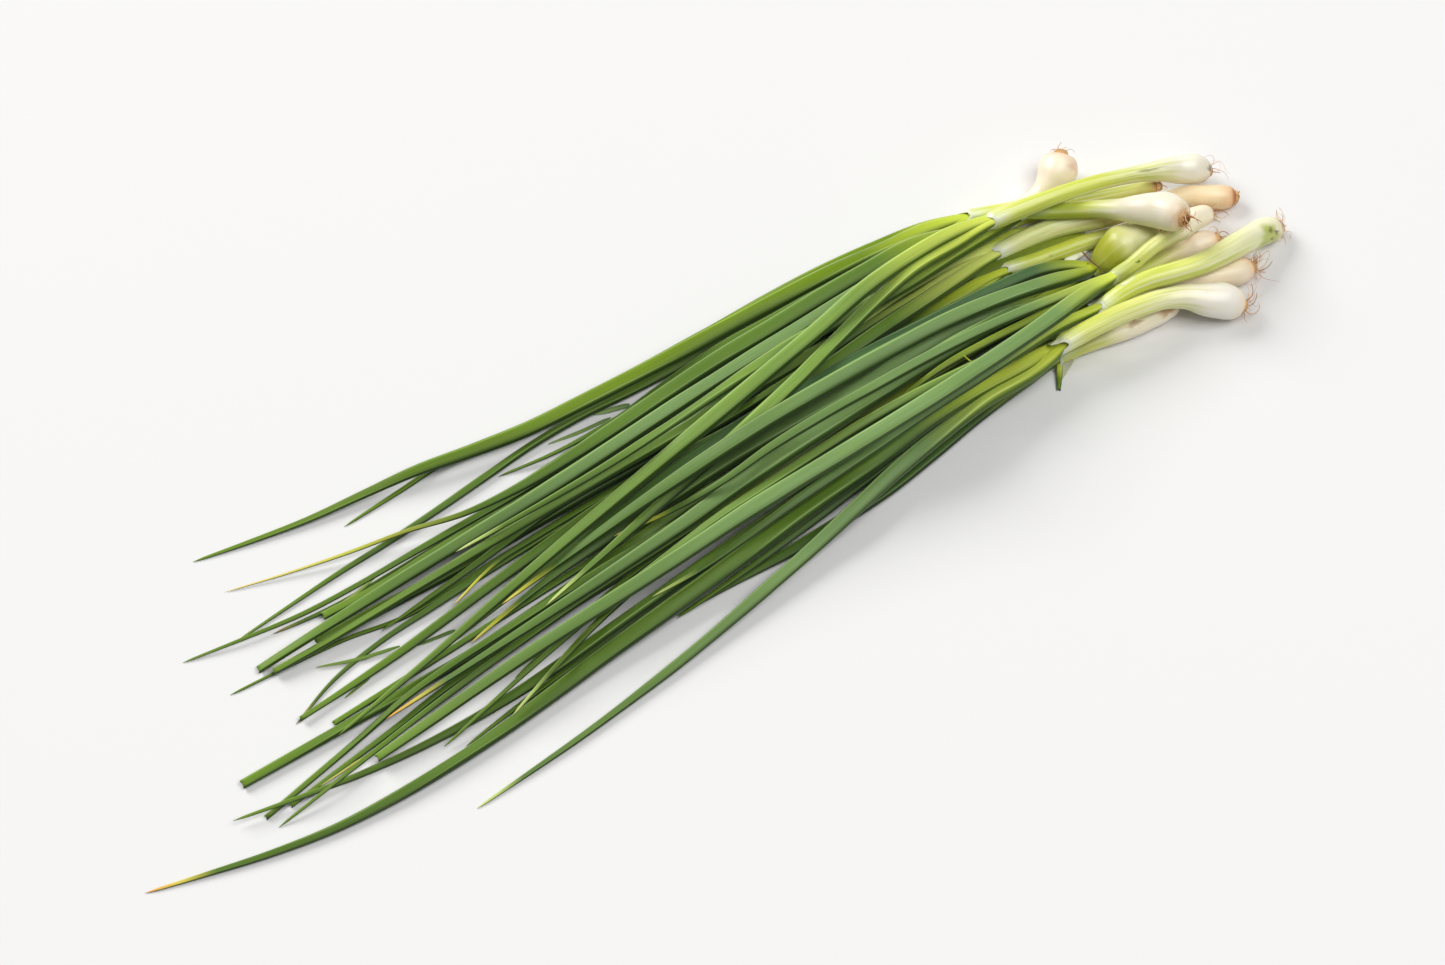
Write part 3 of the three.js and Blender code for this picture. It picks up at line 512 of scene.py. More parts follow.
    def bar(self, sides: int, start_near: np.ndarray) -> Strand:
        """Reads a plain bar, flat at both ends.

        A flat end is a fan of faces round one of its corners, so that corner has the most neighbours.

        Args:
            sides: How many corners each ring has.
            start_near: The place that the bar's first ring is nearer to than its last.

        Returns:
            The bar as a strand.
        """
        hubs = sorted(range(len(self.near)), key=lambda i: -len(self.near[i]))
        for hub in hubs:
            around = self.faces[(self.faces == hub).any(axis=1)]
            p = self.corners[around]
            normals = unit(np.cross(p[:, 1] - p[:, 0], p[:, 2] - p[:, 0]))
            cap = set(around[normals @ np.median(normals, axis=0) > FLAT].reshape(-1).tolist())
            if len(cap) == sides:
                break
        bar = self._strand([sorted(cap)] + self.walk(cap, sides))
        if np.linalg.norm(bar.centre[0] - start_near) > np.linalg.norm(bar.tip - start_near):
            return Strand(bar.centre[::-1].copy(), bar.radius[::-1].copy())
        return bar


# ---------------------------------------------------------------- shader nodes
class Wire:
    """An output socket of a material. Sums and products with it add Math nodes."""

    def __init__(self, nodes: "Nodes", socket: bpy.types.NodeSocket) -> None:
        """Keeps the socket and the node tree that it belongs to."""
        self.nodes = nodes
        self.socket = socket

    def _math(self, operation: str, other: "Wire | float") -> "Wire":
        """Returns the result of a Math node on this socket and another value."""
        node = self.nodes.add("ShaderNodeMath", {"operation": operation}, {0: self, 1: other})
        return self.nodes.wire(node)

    def __add__(self, other: "Wire | float") -> "Wire":
        """Returns self + other."""
        return self._math("ADD", other)

    __radd__ = __add__

    def __mul__(self, other: "Wire | float") -> "Wire":
        """Returns self * other."""
        return self._math("MULTIPLY", other)

    __rmul__ = __mul__


class Nodes:
    """A new material's node tree, filled from expressions."""

    def __init__(self, name: str) -> None:
        """Makes the material and empties its tree.

        Args:
            name: The material's name.
        """
        self.material = bpy.data.materials.new(name)
        self.material.use_nodes = True
        self.tree = self.material.node_tree
        self.tree.nodes.clear()

    def add(
        self,
        kind: str,
        settings: dict[str, object] | None = None,
        inputs: dict[int | str, object] | None = None,
    ) -> bpy.types.Node:
        """Adds a node.

        Args:
            kind: The node's type.
            settings: Its own properties, set first.
            inputs: Its sockets by name or number, each a Wire to link or a value.

        Returns:
            The node.
        """
        node = self.tree.nodes.new(kind)
        for key, value in (settings or {}).items():
            setattr(node, key, value)
        for key, value in (inputs or {}).items():
            if isinstance(value, Wire):
                self.tree.links.new(value.socket, node.inputs[key])
            else:
                node.inputs[key].default_value = value
        return node

    def wire(self, node: bpy.types.Node, output: int | str = 0) -> Wire:
        """Returns one of a node's outputs."""
        return Wire(self, node.outputs[output])

    def attribute(self, name: str, output: str) -> Wire:
        """Returns an attribute of the mesh, as its "Color", "Vector" or "Fac"."""
        return self.wire(self.add("ShaderNodeAttribute", {"attribute_name": name}), output)

    def scaled(self, vector: Wire, by: Sequence[float]) -> Wire:
        """Returns a vector with each part multiplied."""
        return self.wire(self.add("ShaderNodeVectorMath", {"operation": "MULTIPLY"}, {0: vector, 1: by}))

    def noise(self, vector: Wire, scale: float, detail: float = 2.0, roughness: float = 0.5) -> Wire:
        """Returns a noise value of 0 to 1."""
        inputs = {"Vector": vector, "Scale": scale, "Detail": detail, "Roughness": roughness}
        return self.wire(self.add("ShaderNodeTexNoise", None, inputs), "Fac")

    def between(self, value: Wire, low: float, high: float) -> Wire:
        """Adds a smooth step.

        Args:
            value: The value that is stepped.
            low: Under this the result is 0.
            high: Over this it is 1.

        Returns:
            The result, 0 to 1.
        """
        settings = {"interpolation_type": "SMOOTHSTEP", "clamp": True}
        inputs = {"Value": value, "From Min": low, "From Max": high}
        return self.wire(self.add("ShaderNodeMapRange", settings, inputs))

    def mix(self, factor: "Wire | float", a: object, b: object, blend: str = "MIX") -> Wire:
        """Mixes two colours, each a Wire or linear red, green and blue.

        Args:
            factor: How much of b there is.
            a: The first colour.
            b: The second colour.
            blend: How b is laid over a.

        Returns:
            The mixed colour.
        """
        settings = {"data_type": "RGBA", "blend_type": blend}
        colours = {6: a if isinstance(a, Wire) else (*a, 1.0), 7: b if isinstance(b, Wire) else (*b, 1.0)}
        return self.wire(self.add("ShaderNodeMix", settings, {0: factor, **colours}), 2)

    def bump(self, height: Wire, distance: float, strength: float = 1.0) -> Wire:
        """Returns a normal that follows a height pattern."""
        inputs = {"Height": height, "Distance": distance, "Strength": strength}
        return self.wire(self.add("ShaderNodeBump", None, inputs))

    def finish(self, inputs: dict[str, object]) -> bpy.types.Material:
        """Adds the surface shader and the output.

        Args:
            inputs: The shader's sockets, each a Wire to link or a value.

        Returns:
            The material.
        """
        shader = self.add("ShaderNodeBsdfPrincipled", {"subsurface_method": "RANDOM_WALK"}, inputs)
        self.add("ShaderNodeOutputMaterial", None, {"Surface": self.wire(shader)})
        return self.material


# ---------------------------------------------------------------- finishes
@dataclass(frozen=True)
class LeafSkin:
    """Hollow green leaves: a waxy, powdery skin with fine lines along it."""

    roughness: float = 0.5
    sheen: float = 0.16

    def material(self) -> bpy.types.Material:
        """Mixes the skin from the tint and from noises that are drawn out along the strand.

        Returns:
            The material. It reads the mesh's tint, and the place on the strand in millimetres (grain).
        """
        n = Nodes("leaf_skin")
        tint = n.attribute("tint", "Color")
        grain = n.attribute("grain", "Vector")
        lines = n.noise(n.scaled(grain, (1.0, 1.0, 0.016)), 1.9, 3.0, 0.6)
        fine = n.noise(n.scaled(grain, (1.0, 1.0, 0.03)), 5.0, 2.0, 0.6)
        cloud = n.noise(n.scaled(grain, (0.35, 0.35, 0.05)), 0.8, 3.0, 0.55)
        bloom = n.noise(n.scaled(grain, (1.0, 1.0, 0.5)), 2.6, 4.0, 0.7)
        dark = n.mix(n.between(lines, 0.35, 0.75) * 0.34, tint, (0.55, 0.62, 0.45), "MULTIPLY")
        light = n.mix(n.between(fine, 0.5, 0.85) * 0.22, dark, (1.0, 1.0, 0.72), "SOFT_LIGHT")
        patchy = n.mix(n.between(cloud, 0.42, 0.75) * 0.30, light, (1.15, 1.08, 0.62), "MULTIPLY")
        powder = n.mix(n.between(bloom, 0.45, 0.8) * 0.10, patchy, srgb(150, 172, 120))
        relief = lines * 0.7 + fine * 0.3
        return n.finish({
            "Base Color": powder,
            "Roughness": self.roughness - 0.1 + bloom * 0.2,
            "Normal": n.bump(relief, 0.16 * MM, 0.55),
            "Subsurface Weight": 0.04,
            "Subsurface Radius": (0.9, 1.0, 0.35),
            "Subsurface Scale": 1.2 * MM,
            "Specular IOR Level": 0.3,
            "Sheen Weight": self.sheen,
            "Sheen Roughness": 0.45,
            "Sheen Tint": (0.95, 1.0, 0.9, 1.0),
        })


@dataclass(frozen=True)
class BulbSkin:
    """Bulbs and shafts: moist, white to pale green layers with green lines that run up the shaft."""

    roughness: float = 0.34

    def material(self) -> bpy.types.Material:
        """Mixes the skin from the tint, green and pale lines along the strand, and worn blotches.

        Returns:
            The material. It reads the mesh's tint and grain, and how strongly the lines show (streak).
        """
        n = Nodes("bulb_skin")
        tint = n.attribute("tint", "Color")
        grain = n.attribute("grain", "Vector")
        streak = n.attribute("streak", "Fac")
        broad = n.noise(n.scaled(grain, (1.0, 1.0, 0.045)), 0.55, 2.0, 0.5)
        lines = n.noise(n.scaled(grain, (1.0, 1.0, 0.018)), 1.5, 3.0, 0.6)
        fine = n.noise(n.scaled(grain, (1.0, 1.0, 0.03)), 4.2, 2.0, 0.6)
        blotch = n.noise(grain, 0.16, 3.0, 0.55)
        green = n.mix(n.between(broad, 0.44, 0.64) * streak * 0.75, tint, srgb(198, 210, 84))
        veined = n.mix(n.between(lines, 0.5, 0.75) * streak * 0.55, green, srgb(160, 182, 54))
        bands = n.noise(n.scaled(grain, (1.0, 1.0, 0.012)), 0.9, 2.0, 0.5)
        banded = n.mix(n.between(bands, 0.52, 0.68) * streak * 0.6, veined, srgb(244, 246, 206))
        pale = n.mix(n.between(fine, 0.55, 0.8) * 0.25, banded, srgb(244, 240, 214))
        worn = n.mix(n.between(blotch, 0.55, 0.8) * 0.16, pale, srgb(226, 206, 160))
        relief = lines * 0.8 + fine * 0.2
        return n.finish({
            "Base Color": worn,
            "Roughness": self.roughness - 0.06 + blotch * 0.14,
            "Normal": n.bump(relief, 0.22 * MM, 0.45),
            "Subsurface Weight": 0.3,
            "Subsurface Radius": (1.0, 0.8, 0.45),
            "Subsurface Scale": 2.2 * MM,
            "Specular IOR Level": 0.5,
            "Coat Weight": 0.12,
            "Coat Roughness": 0.25,
        })


@dataclass(frozen=True)
class RootFibre:
    """Dry basal plates and roots: straw to brown, rough and stringy."""

    def material(self) -> bpy.types.Material:
        """Mixes the fibre from the tint, dark specks and dry, pale strings.

        Returns:
            The material. It reads the mesh's tint and grain.
        """
        n = Nodes("root_fibre")
        tint = n.attribute("tint", "Color")
        grain = n.attribute("grain", "Vector")
        speck = n.noise(grain, 1.6, 4.0, 0.65)
        fibre = n.noise(n.scaled(grain, (1.0, 1.0, 0.15)), 4.0, 3.0, 0.6)
        dark = n.mix(n.between(speck, 0.5, 0.72) * 0.4, tint, srgb(128, 80, 42))
        dry = n.mix(n.between(fibre, 0.5, 0.8) * 0.4, dark, srgb(236, 206, 160))
        return n.finish({
            "Base Color": dry,
            "Roughness": 0.62 + speck * 0.2,
            "Normal": n.bump(fibre * 0.6 + speck * 0.4, 0.25 * MM, 0.8),
            "Specular IOR Level": 0.35,
        })


@dataclass(frozen=True)
class Paper:
    """The pale floor: matt, seamless and nearly white."""

    brightness: float = 0.805

    def material(self) -> bpy.types.Material:
        """Returns the material."""
        n = Nodes("paper")
        b = self.brightness
        return n.finish({"Base Color": (b, b, b, 1.0), "Roughness": 0.9, "Specular IOR Level": 0.1})


# ---------------------------------------------------------------- one piece's surface
def placed(name: str, data: bpy.types.ID) -> bpy.types.Object:
    """Makes an object and puts it in the scene.

    Args:
        name: Its name.
        data: Its mesh, light or camera.

    Returns:
        The object.
    """
    made = bpy.data.objects.new(name, data)
    bpy.context.scene.collection.objects.link(made)
    return made


@dataclass
class Skin:
    """Collects the closed surfaces of one piece, with their tint, grain and streaks, and makes one mesh."""

    name: str
    corners: list[np.ndarray] = field(default_factory=list)
    quads: list[np.ndarray] = field(default_factory=list)
    fans: list[np.ndarray] = field(default_factory=list)
    tints: list[np.ndarray] = field(default_factory=list)
    grains: list[np.ndarray] = field(default_factory=list)
    streaks: list[np.ndarray] = field(default_factory=list)
    count: int = 0

    def add(
        self,
        rows: np.ndarray,
        tint: np.ndarray,
        grain: np.ndarray,
        streak: np.ndarray | None = None,
    ) -> None:
        """Adds a closed tube: a grid of rows and columns, whose first and last rows close on their middles.

        Args:
            rows: Corners as (row, column, xyz); columns run anticlockwise seen against the rows' way.
            tint: Linear colours, as (row, column, rgb).
            grain: The place on the strand in millimetres, as (row, column, xyz).
            streak: Strength of the green lines, as (row, column).
        """
        n, m, _ = rows.shape
        streak = np.zeros((n, m)) if streak is None else streak
        index = np.arange(n * m).reshape(n, m) + self.count
        after = np.roll(index, -1, axis=1)
        quads = np.stack([index[:-1], after[:-1], after[1:], index[1:]], axis=-1).reshape(-1, 4)
        first, last = self.count + n * m, self.count + n * m + 1
        start = np.stack([np.full(m, first), after[0], index[0]], axis=-1)
        end = np.stack([np.full(m, last), index[-1], after[-1]], axis=-1)
        for store, grid, width in (
            (self.corners, rows, 3),
            (self.tints, tint, 3),
            (self.grains, grain, 3),
            (self.streaks, streak, 1),
        ):
            flat = np.asarray(grid, float).reshape(n, m, width)
            ends = np.stack([flat[0].mean(axis=0), flat[-1].mean(axis=0)])
            store.append(np.concatenate([flat.reshape(-1, width), ends]))
        self.quads.append(quads)
        self.fans.append(np.concatenate([start, end]))
        self.count += n * m + 2

    def piece(self, finish: bpy.types.Material, slot: str, nodes: Iterable[str]) -> bpy.types.Object:
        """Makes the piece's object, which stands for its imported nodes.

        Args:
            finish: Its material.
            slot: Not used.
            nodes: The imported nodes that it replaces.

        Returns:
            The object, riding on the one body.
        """
        corners = np.concatenate(self.corners)
        corners[:, 2] = np.maximum(corners[:, 2], FLOOR_GAP)
        mesh = bpy.data.meshes.new(self.name)
        faces = np.concatenate(self.quads).tolist() + np.concatenate(self.fans).tolist()
        mesh.from_pydata(corners.tolist(), [], faces)
        mesh.polygons.foreach_set("use_smooth", np.ones(len(faces), bool))
        tint = np.concatenate(self.tints)
        rgba = np.concatenate([np.clip(tint, 0, 1), np.ones((len(tint), 1))], axis=1)
        for name, kind, part, values in (
            ("tint", "FLOAT_COLOR", "color", rgba),
            ("grain", "FLOAT_VECTOR", "vector", np.concatenate(self.grains)),
            ("streak", "FLOAT", "value", np.concatenate(self.streaks)),
        ):
            mesh.attributes.new(name, kind, "POINT").data.foreach_set(part, values.ravel())
        mesh.materials.append(finish)
        mesh.update()
        made = placed(self.name, mesh)
        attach(made, "root")
        if nodes:
            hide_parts(*nodes)
        LOG.info("%s: %d faces", self.name, len(faces))
        return made


# ---------------------------------------------------------------- colours
class Tone(Enum):
    """The greens of the leaves, as the colour of a leaf's middle."""

    FRESH = (108, 138, 0)
    LIGHT = (120, 152, 66)
    GLAUCOUS = (116, 148, 86)
    MID = (90, 122, 34)
    # a deeper green, partly painted shade for leaves that lie low in the bunch
    DARK = (58, 90, 26)
    BLUE = (70, 104, 60)
    OLIVE = (108, 126, 30)
    YELLOWISH = (148, 170, 44)


class Tip(Enum):
    """What a leaf's end looks like: how long its last part is in millimetres, and its two colours."""

    GREEN = (30.0, None, None)
    YELLOW = (26.0, (216, 216, 70), (250, 224, 112))
    DRY = (28.0, (216, 200, 80), (240, 164, 88))
    BROWN = (12.0, (150, 150, 70), (150, 104, 62))
    GOLDEN = (105.0, (186, 188, 66), (240, 216, 132))
    PALE = (22.0, (178, 200, 110), (206, 218, 140))
    CUT = (10.0, None, None)


class BulbTone(Enum):
    """Bulb colours: at the root end, over the belly, on the lower shaft and at the collar."""

    WHITE = ((228, 196, 152), (242, 234, 214), (194, 204, 84), (162, 182, 50))
    STREAKED = ((236, 206, 166), (250, 244, 232), (234, 234, 140), (212, 222, 84))
    IVORY = ((244, 206, 160), (254, 242, 216), (236, 234, 160), (214, 222, 104))
    CLEAR = ((230, 214, 180), (246, 242, 226), (218, 226, 96), (222, 230, 110))
    GREENISH = ((226, 204, 150), (242, 240, 206), (230, 234, 132), (214, 226, 86))
    PEACH = ((236, 168, 112), (254, 236, 208), (244, 234, 180), (220, 224, 116))
    PINKISH = ((234, 184, 144), (254, 236, 214), (228, 234, 122), (206, 222, 74))
    CREAM = ((226, 150, 88), (252, 228, 188), (240, 236, 186), (230, 236, 150))
    OLIVE = ((206, 150, 84), (226, 226, 140), (210, 216, 78), (188, 202, 50))
    # darker shaft and collar: a deep yellow-green, partly painted shade for a bulb that lies under its
    # neighbours
    DEEP_GREEN = ((236, 230, 190), (226, 226, 172), (184, 188, 52), (156, 160, 12))


@dataclass(frozen=True)
class Leaf:
    """One leaf's looks. Its lengths are in millimetres."""

    tip: tuple[float, float]  # the rough place of its end on the floor plan, by which it is known
    tone: Tone
    end: Tip = Tip.GREEN
    flat: float = 0.72  # its height as a share of its width
    base: float = 85.0  # how far the yellow-green of its foot reaches
    lines: float = 0.6  # how deep the creases along it are
    boxy: float = 0.7  # squares its section: 1 is an oval, less is squarer
    slim: float = 1.0  # how much of its width is left towards the tip
    foot: float = 1.0  # how much wider it is where it leaves the sheath


@dataclass(frozen=True)
class Patch:
    """A mark on a bulb or shaft. Its lengths are in millimetres."""

    share: float  # where it lies on the way from the root end to the collar
    turn: float  # where it lies round the stem, in degrees; 90 is on top
    length: float
    width: float
    colour: tuple[int, int, int]
    strength: float = 0.8  # how much of its colour shows


@dataclass(frozen=True)
class Plant:
    """One spring onion. Its lengths are in millimetres."""

    number: int
    tone: BulbTone
    leaves: tuple[Leaf, ...]
    white: float = 0.45  # how far up the stem the white goes, as a share
    hairs: int = 8  # fine roots between the thick ones
    hair_length: float = 6.0
    sheath: float = 6.0  # how far the sheath stands over the collar
    notch: float = 75.0  # where its rim dips, in degrees round the stem
    streaks: float = 1.0  # how strongly the green lines show
    girth: float = 1.0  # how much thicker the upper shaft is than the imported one
    film: float = 1.0  # how white the sheath's rim is
    patches: tuple[Patch, ...] = ()

    @property
    def name(self) -> str:
        """The start of the names of its nodes."""
        return f"onion_{self.number:02d}"


BROWN = (150, 100, 56)
SOIL = (84, 66, 44)

PLANTS = (
    Plant(1, BulbTone.PINKISH, (
        Leaf((-188, 78), Tone.FRESH, base=60, boxy=0.85),
        Leaf((-130, 57), Tone.FRESH, base=40),
        Leaf((-193, 37), Tone.MID, base=40),
        Leaf((-179, 32), Tone.MID, Tip.BROWN, base=40),
    ), white=0.6, hairs=7, hair_length=5, patches=(Patch(0.1, 30, 5, 8, (224, 166, 140), 0.5),)),
    Plant(2, BulbTone.CLEAR, (
        Leaf((-182, -23), Tone.LIGHT, base=90, lines=1.0),
        Leaf((-85, -23), Tone.LIGHT, Tip.PALE, base=90, lines=1.0),
    ), white=0.14, hairs=6, hair_length=12, sheath=6.5, notch=60,
        patches=(Patch(0.3, 70, 11, 1.3, (128, 116, 52), 0.85), Patch(0.02, 60, 3, 4, SOIL, 0.8))),
    Plant(3, BulbTone.WHITE, (
        Leaf((-102, 16), Tone.LIGHT, Tip.PALE, base=95, lines=1.0),
        Leaf((-192, 21), Tone.GLAUCOUS, Tip.CUT, base=70),
        Leaf((-159, 26), Tone.MID, Tip.CUT, base=70),
    ), white=0.42, hairs=34, hair_length=6.5, sheath=6, streaks=0.5),
    Plant(4, BulbTone.OLIVE, (
        Leaf((-185, 59), Tone.MID, Tip.GOLDEN, base=80, slim=0.5),
        Leaf((-81, 33), Tone.MID, base=60),
        Leaf((88, 23), Tone.MID, Tip.CUT, base=50),
        Leaf((-66, 41), Tone.DARK, base=60),
        Leaf((-215, 41), Tone.MID, base=60),
    ), white=0.1, hairs=5, hair_length=4, patches=(Patch(0.0, 90, 3, 9, BROWN, 0.9),)),
    Plant(5, BulbTone.IVORY, (
        Leaf((-175, -40), Tone.GLAUCOUS, Tip.CUT, base=50),
        Leaf((-45, -12), Tone.GLAUCOUS, Tip.YELLOW, base=50),
        Leaf((40, -30), Tone.YELLOWISH, Tip.YELLOW, base=50, slim=0.6),
    ), white=0.4, hairs=9, hair_length=14, sheath=4, film=0.6),
    Plant(6, BulbTone.GREENISH, (
        Leaf((-49, -45), Tone.GLAUCOUS, Tip.PALE, base=70),
        Leaf((-150, -50), Tone.LIGHT, base=60),
        Leaf((-221, -41), Tone.MID, base=60),
        Leaf((-223, -35), Tone.MID, Tip.CUT, base=60),
    ), white=0.2, hairs=14, hair_length=8,
        patches=(Patch(0.13, 25, 15, 11, (178, 192, 70), 0.85), Patch(0.08, 38, 3, 2, SOIL, 0.85),
                 Patch(0.12, 52, 2.2, 2.6, SOIL, 0.7), Patch(0.11, 12, 2, 1.6, SOIL, 0.8),
                 Patch(0.02, 90, 2.6, 12, BROWN, 0.75))),
    Plant(7, BulbTone.CREAM, (
        Leaf((-190, -7), Tone.MID, Tip.CUT, base=75),
        Leaf((-188, 16), Tone.LIGHT, Tip.CUT, base=120, lines=1.0, foot=1.3),
        Leaf((-114, 0), Tone.MID, Tip.YELLOW, base=90),
        Leaf((-143, 8), Tone.DARK, base=60),
    ), white=0.45, hairs=5, hair_length=3, sheath=6.5, notch=55, streaks=0.8, girth=1.04,
        patches=(Patch(0.0, 60, 4, 26, (184, 108, 50), 0.95),)),
    Plant(8, BulbTone.OLIVE, (
        Leaf((100, 2), Tone.YELLOWISH, Tip.YELLOW, base=40),
        Leaf((-167, 18), Tone.DARK, Tip.CUT, base=60, foot=1.15),
        Leaf((-192, -7), Tone.MID, Tip.BROWN, base=60),
        Leaf((-207, 18), Tone.MID, base=60),
    ), white=0.3, hairs=7, hair_length=5, sheath=6, notch=60, girth=1.12,
        patches=(Patch(0.75, 60, 2, 1.2, SOIL, 0.5),)),
    Plant(9, BulbTone.DEEP_GREEN, (
        Leaf((-121, -12), Tone.BLUE, base=30),
        Leaf((-98, -11), Tone.GLAUCOUS, Tip.YELLOW, base=40),
        Leaf((128, -8), Tone.YELLOWISH, Tip.PALE, base=20, lines=1.0),
        Leaf((-223, -18), Tone.MID, Tip.CUT, base=60),
    ), white=0.4, hairs=7, hair_length=6, sheath=3, streaks=0.15, girth=1.34, film=0.1),
    Plant(10, BulbTone.PINKISH, (
        Leaf((-163, -28), Tone.GLAUCOUS, Tip.DRY, base=50),
        Leaf((-117, -18), Tone.GLAUCOUS, Tip.YELLOW, base=60),
        Leaf((-122, -56), Tone.OLIVE, Tip.PALE, base=60),
        Leaf((-180, -16), Tone.MID, Tip.CUT, base=60),
    ), white=0.3, hairs=10, hair_length=8, sheath=3.5, notch=60, girth=1.05),
    Plant(11, BulbTone.PEACH, (
        Leaf((-234, -30), Tone.MID, base=60),
        Leaf((-213, -36), Tone.DARK, Tip.CUT, base=60),
        Leaf((-111, -40), Tone.MID, base=60),
        Leaf((-143, -54), Tone.DARK, base=60),
    ), white=0.5, hairs=22, hair_length=13),
    Plant(12, BulbTone.STREAKED, (
        Leaf((-277, -36), Tone.MID, Tip.DRY, base=90, lines=0.9),
        Leaf((-154, -78), Tone.GLAUCOUS, Tip.PALE, base=90),
        Leaf((-43, -55), Tone.DARK, base=50),
    ), white=0.22, hairs=22, hair_length=9, sheath=8, notch=45),
    Plant(13, BulbTone.IVORY, (
        Leaf((-43, -54), Tone.DARK, base=50),
        Leaf((147, -57), Tone.FRESH, Tip.CUT, base=6),
    ), white=0.5, hairs=6, hair_length=4,
        patches=(Patch(0.12, 70, 9, 7, (196, 150, 104), 0.75), Patch(0.4, 75, 7, 3, (150, 104, 64), 0.6))),
)


# ---------------------------------------------------------------- bulbs and shafts
@dataclass
class BulbAndShaft:
    """A bulb, its shaft and the sheath at the collar, drawn as one closed skin."""

    SEED: ClassVar[int] = 100
    FILM: ClassVar[tuple[int, int, int]] = (244, 246, 232)
    RIDGES: ClassVar[tuple[int, ...]] = (2, 3, 5, 7)  # swings round the stem
    FINGERS: ClassVar[tuple[int, ...]] = (3, 7, 11)  # swings of the edge between white and green
    RAGGED: ClassVar[tuple[tuple[float, int], ...]] = ((0.35 * MM, 4), (0.15 * MM, 11))  # swings of the rim
    BLOTTED: ClassVar[tuple[tuple[float, int], ...]] = ((0.22, 3), (0.14, 7))  # swings of a mark's edge

    plant: Plant
    stem: Strand
    leaves: list[Strand]
    columns: int = 60
    step: float = 1.2 * MM  # between rings
    calm: int = 7  # rings on each side that share in a ring's direction
    fit: float = 0.985  # the skin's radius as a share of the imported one
    ridge: float = 0.012  # the ridges' height as a share of the radius
    ridge_wave: float = 90 * MM
    ridge_swing: float = 2.2  # how far the ridges swing round the stem, in radians
    thickening: tuple[float, float] = (0.3, 0.6)  # the shares of the stem between which the girth sets in
    thick_to: float = 0.9  # from this share to the collar it is lost again
    finger: float = 0.045  # how far the green reaches down in fingers, as a share of the length
    streaking: tuple[float, float] = (0.12, 0.25)  # from this far below the white's end to this far above
    film_reach: float = 10 * MM  # how far under the collar the film starts
    film_turn: float = 0.9  # how far it spreads round from the notch there, in radians
    film_share: float = 0.7  # how much of its colour shows there
    rim_film: tuple[float, float] = (1.2 * MM, 8.0 * MM)  # under the rim: film down to here, none from here
    rim_share: float = 0.9  # how much of its colour shows at the rim
    wall: float = 0.16 * MM
    loose: float = 0.16 * MM  # how far the sheath stands off the leaves
    lowest_rim: float = 0.8 * MM
    notch_depth: float = 0.85  # as a share of the sheath's height
    notch_turn: float = 0.95  # how wide it is, in radians
    sheath_rows: int = 8
    leaf_rings: int = 24  # of each leaf from the collar on that the sheath goes round
    waist: float = 0.55  # the sheath's least radius as a share of the collar's
    waist_at: float = 6 * MM  # where it is that narrow
    rounding: float = 0.35 * MM  # of the sheath between two leaves
    turned_in: float = 4 * MM  # how far it turns back inside
    inner_width: float = 0.4  # how wide it is there, as a share of the rim's width
    inner_shade: tuple[float, float] = (0.8, 0.5)  # painted shade: the colour's share left on the two rows turned back inside

    def __post_init__(self) -> None:
        """Starts the plant's random numbers and lays out the columns."""
        self.rng = np.random.default_rng(self.SEED + self.plant.number)
        self.turn = turns(self.columns)
        self.from_notch = angle_from(self.turn, self.plant.notch)
        self.film_colour = srgb(*self.FILM)
        self.side, self.top = square_to(self.stem.end_way)

    def skin(self) -> Skin:
        """Draws the surface: circles on the stem's line, then the sheath round the leaves, then back inside.

        Returns:
            The skin of bulb, shaft and sheath.
        """
        stem = self.stem.resampled(self.step)
        at = lengths_along(stem.centre)
        rows = self._rows(stem, at)
        tint, streak = self._colours(stem, at)
        sheath, end_tint, end_streak = self._sheath(tint[-1], streak[-1])
        along = np.concatenate([at / MM, at[-1] / MM + np.linspace(0.5, 12, len(sheath))])
        skin = Skin(f"{self.plant.name}_bulb_skin")
        skin.add(
            np.concatenate([rows, sheath]),
            np.concatenate([tint, end_tint]),
            grain_rows(self.turn, along, float(np.mean(stem.radius)) / MM, 17.0 * self.plant.number),
            np.concatenate([streak, end_streak]),
        )
        return skin

    def _rows(self, stem: Strand, at: np.ndarray) -> np.ndarray:
        """Works out the rings from the root end to the collar.

        Each is a circle of the strand's radius, with low ridges round it that swing slowly along the stem.
        The upper shaft is thicker by the plant's girth.

        Args:
            stem: The stem with close rings.
            at: How far each ring lies along it.

        Returns:
            The corners, as (row, column, xyz).
        """
        rng, share = self.rng, at / at[-1]
        turn = self.turn[None, :]
        ridges = sum(
            np.cos(k * turn + self.ridge_swing * wander(rng, at, self.ridge_wave)[:, None] + phase(rng))
            / k**0.5
            for k in self.RIDGES
        )
        ridged = 1 + self.ridge * ridges * smoothstep(0.0, 0.2, share)[:, None]
        thicker = (self.plant.girth - 1) * smoothstep(*self.thickening, share)
        fit = self.fit * (1 + thicker * (1 - smoothstep(self.thick_to, 1.0, share)))
        radius = stem.radius[:, None] * fit[:, None] * ridged
        return stem.centre[:, None, :] + circle(self.turn, *stem.axes(self.calm)) * radius[:, :, None]

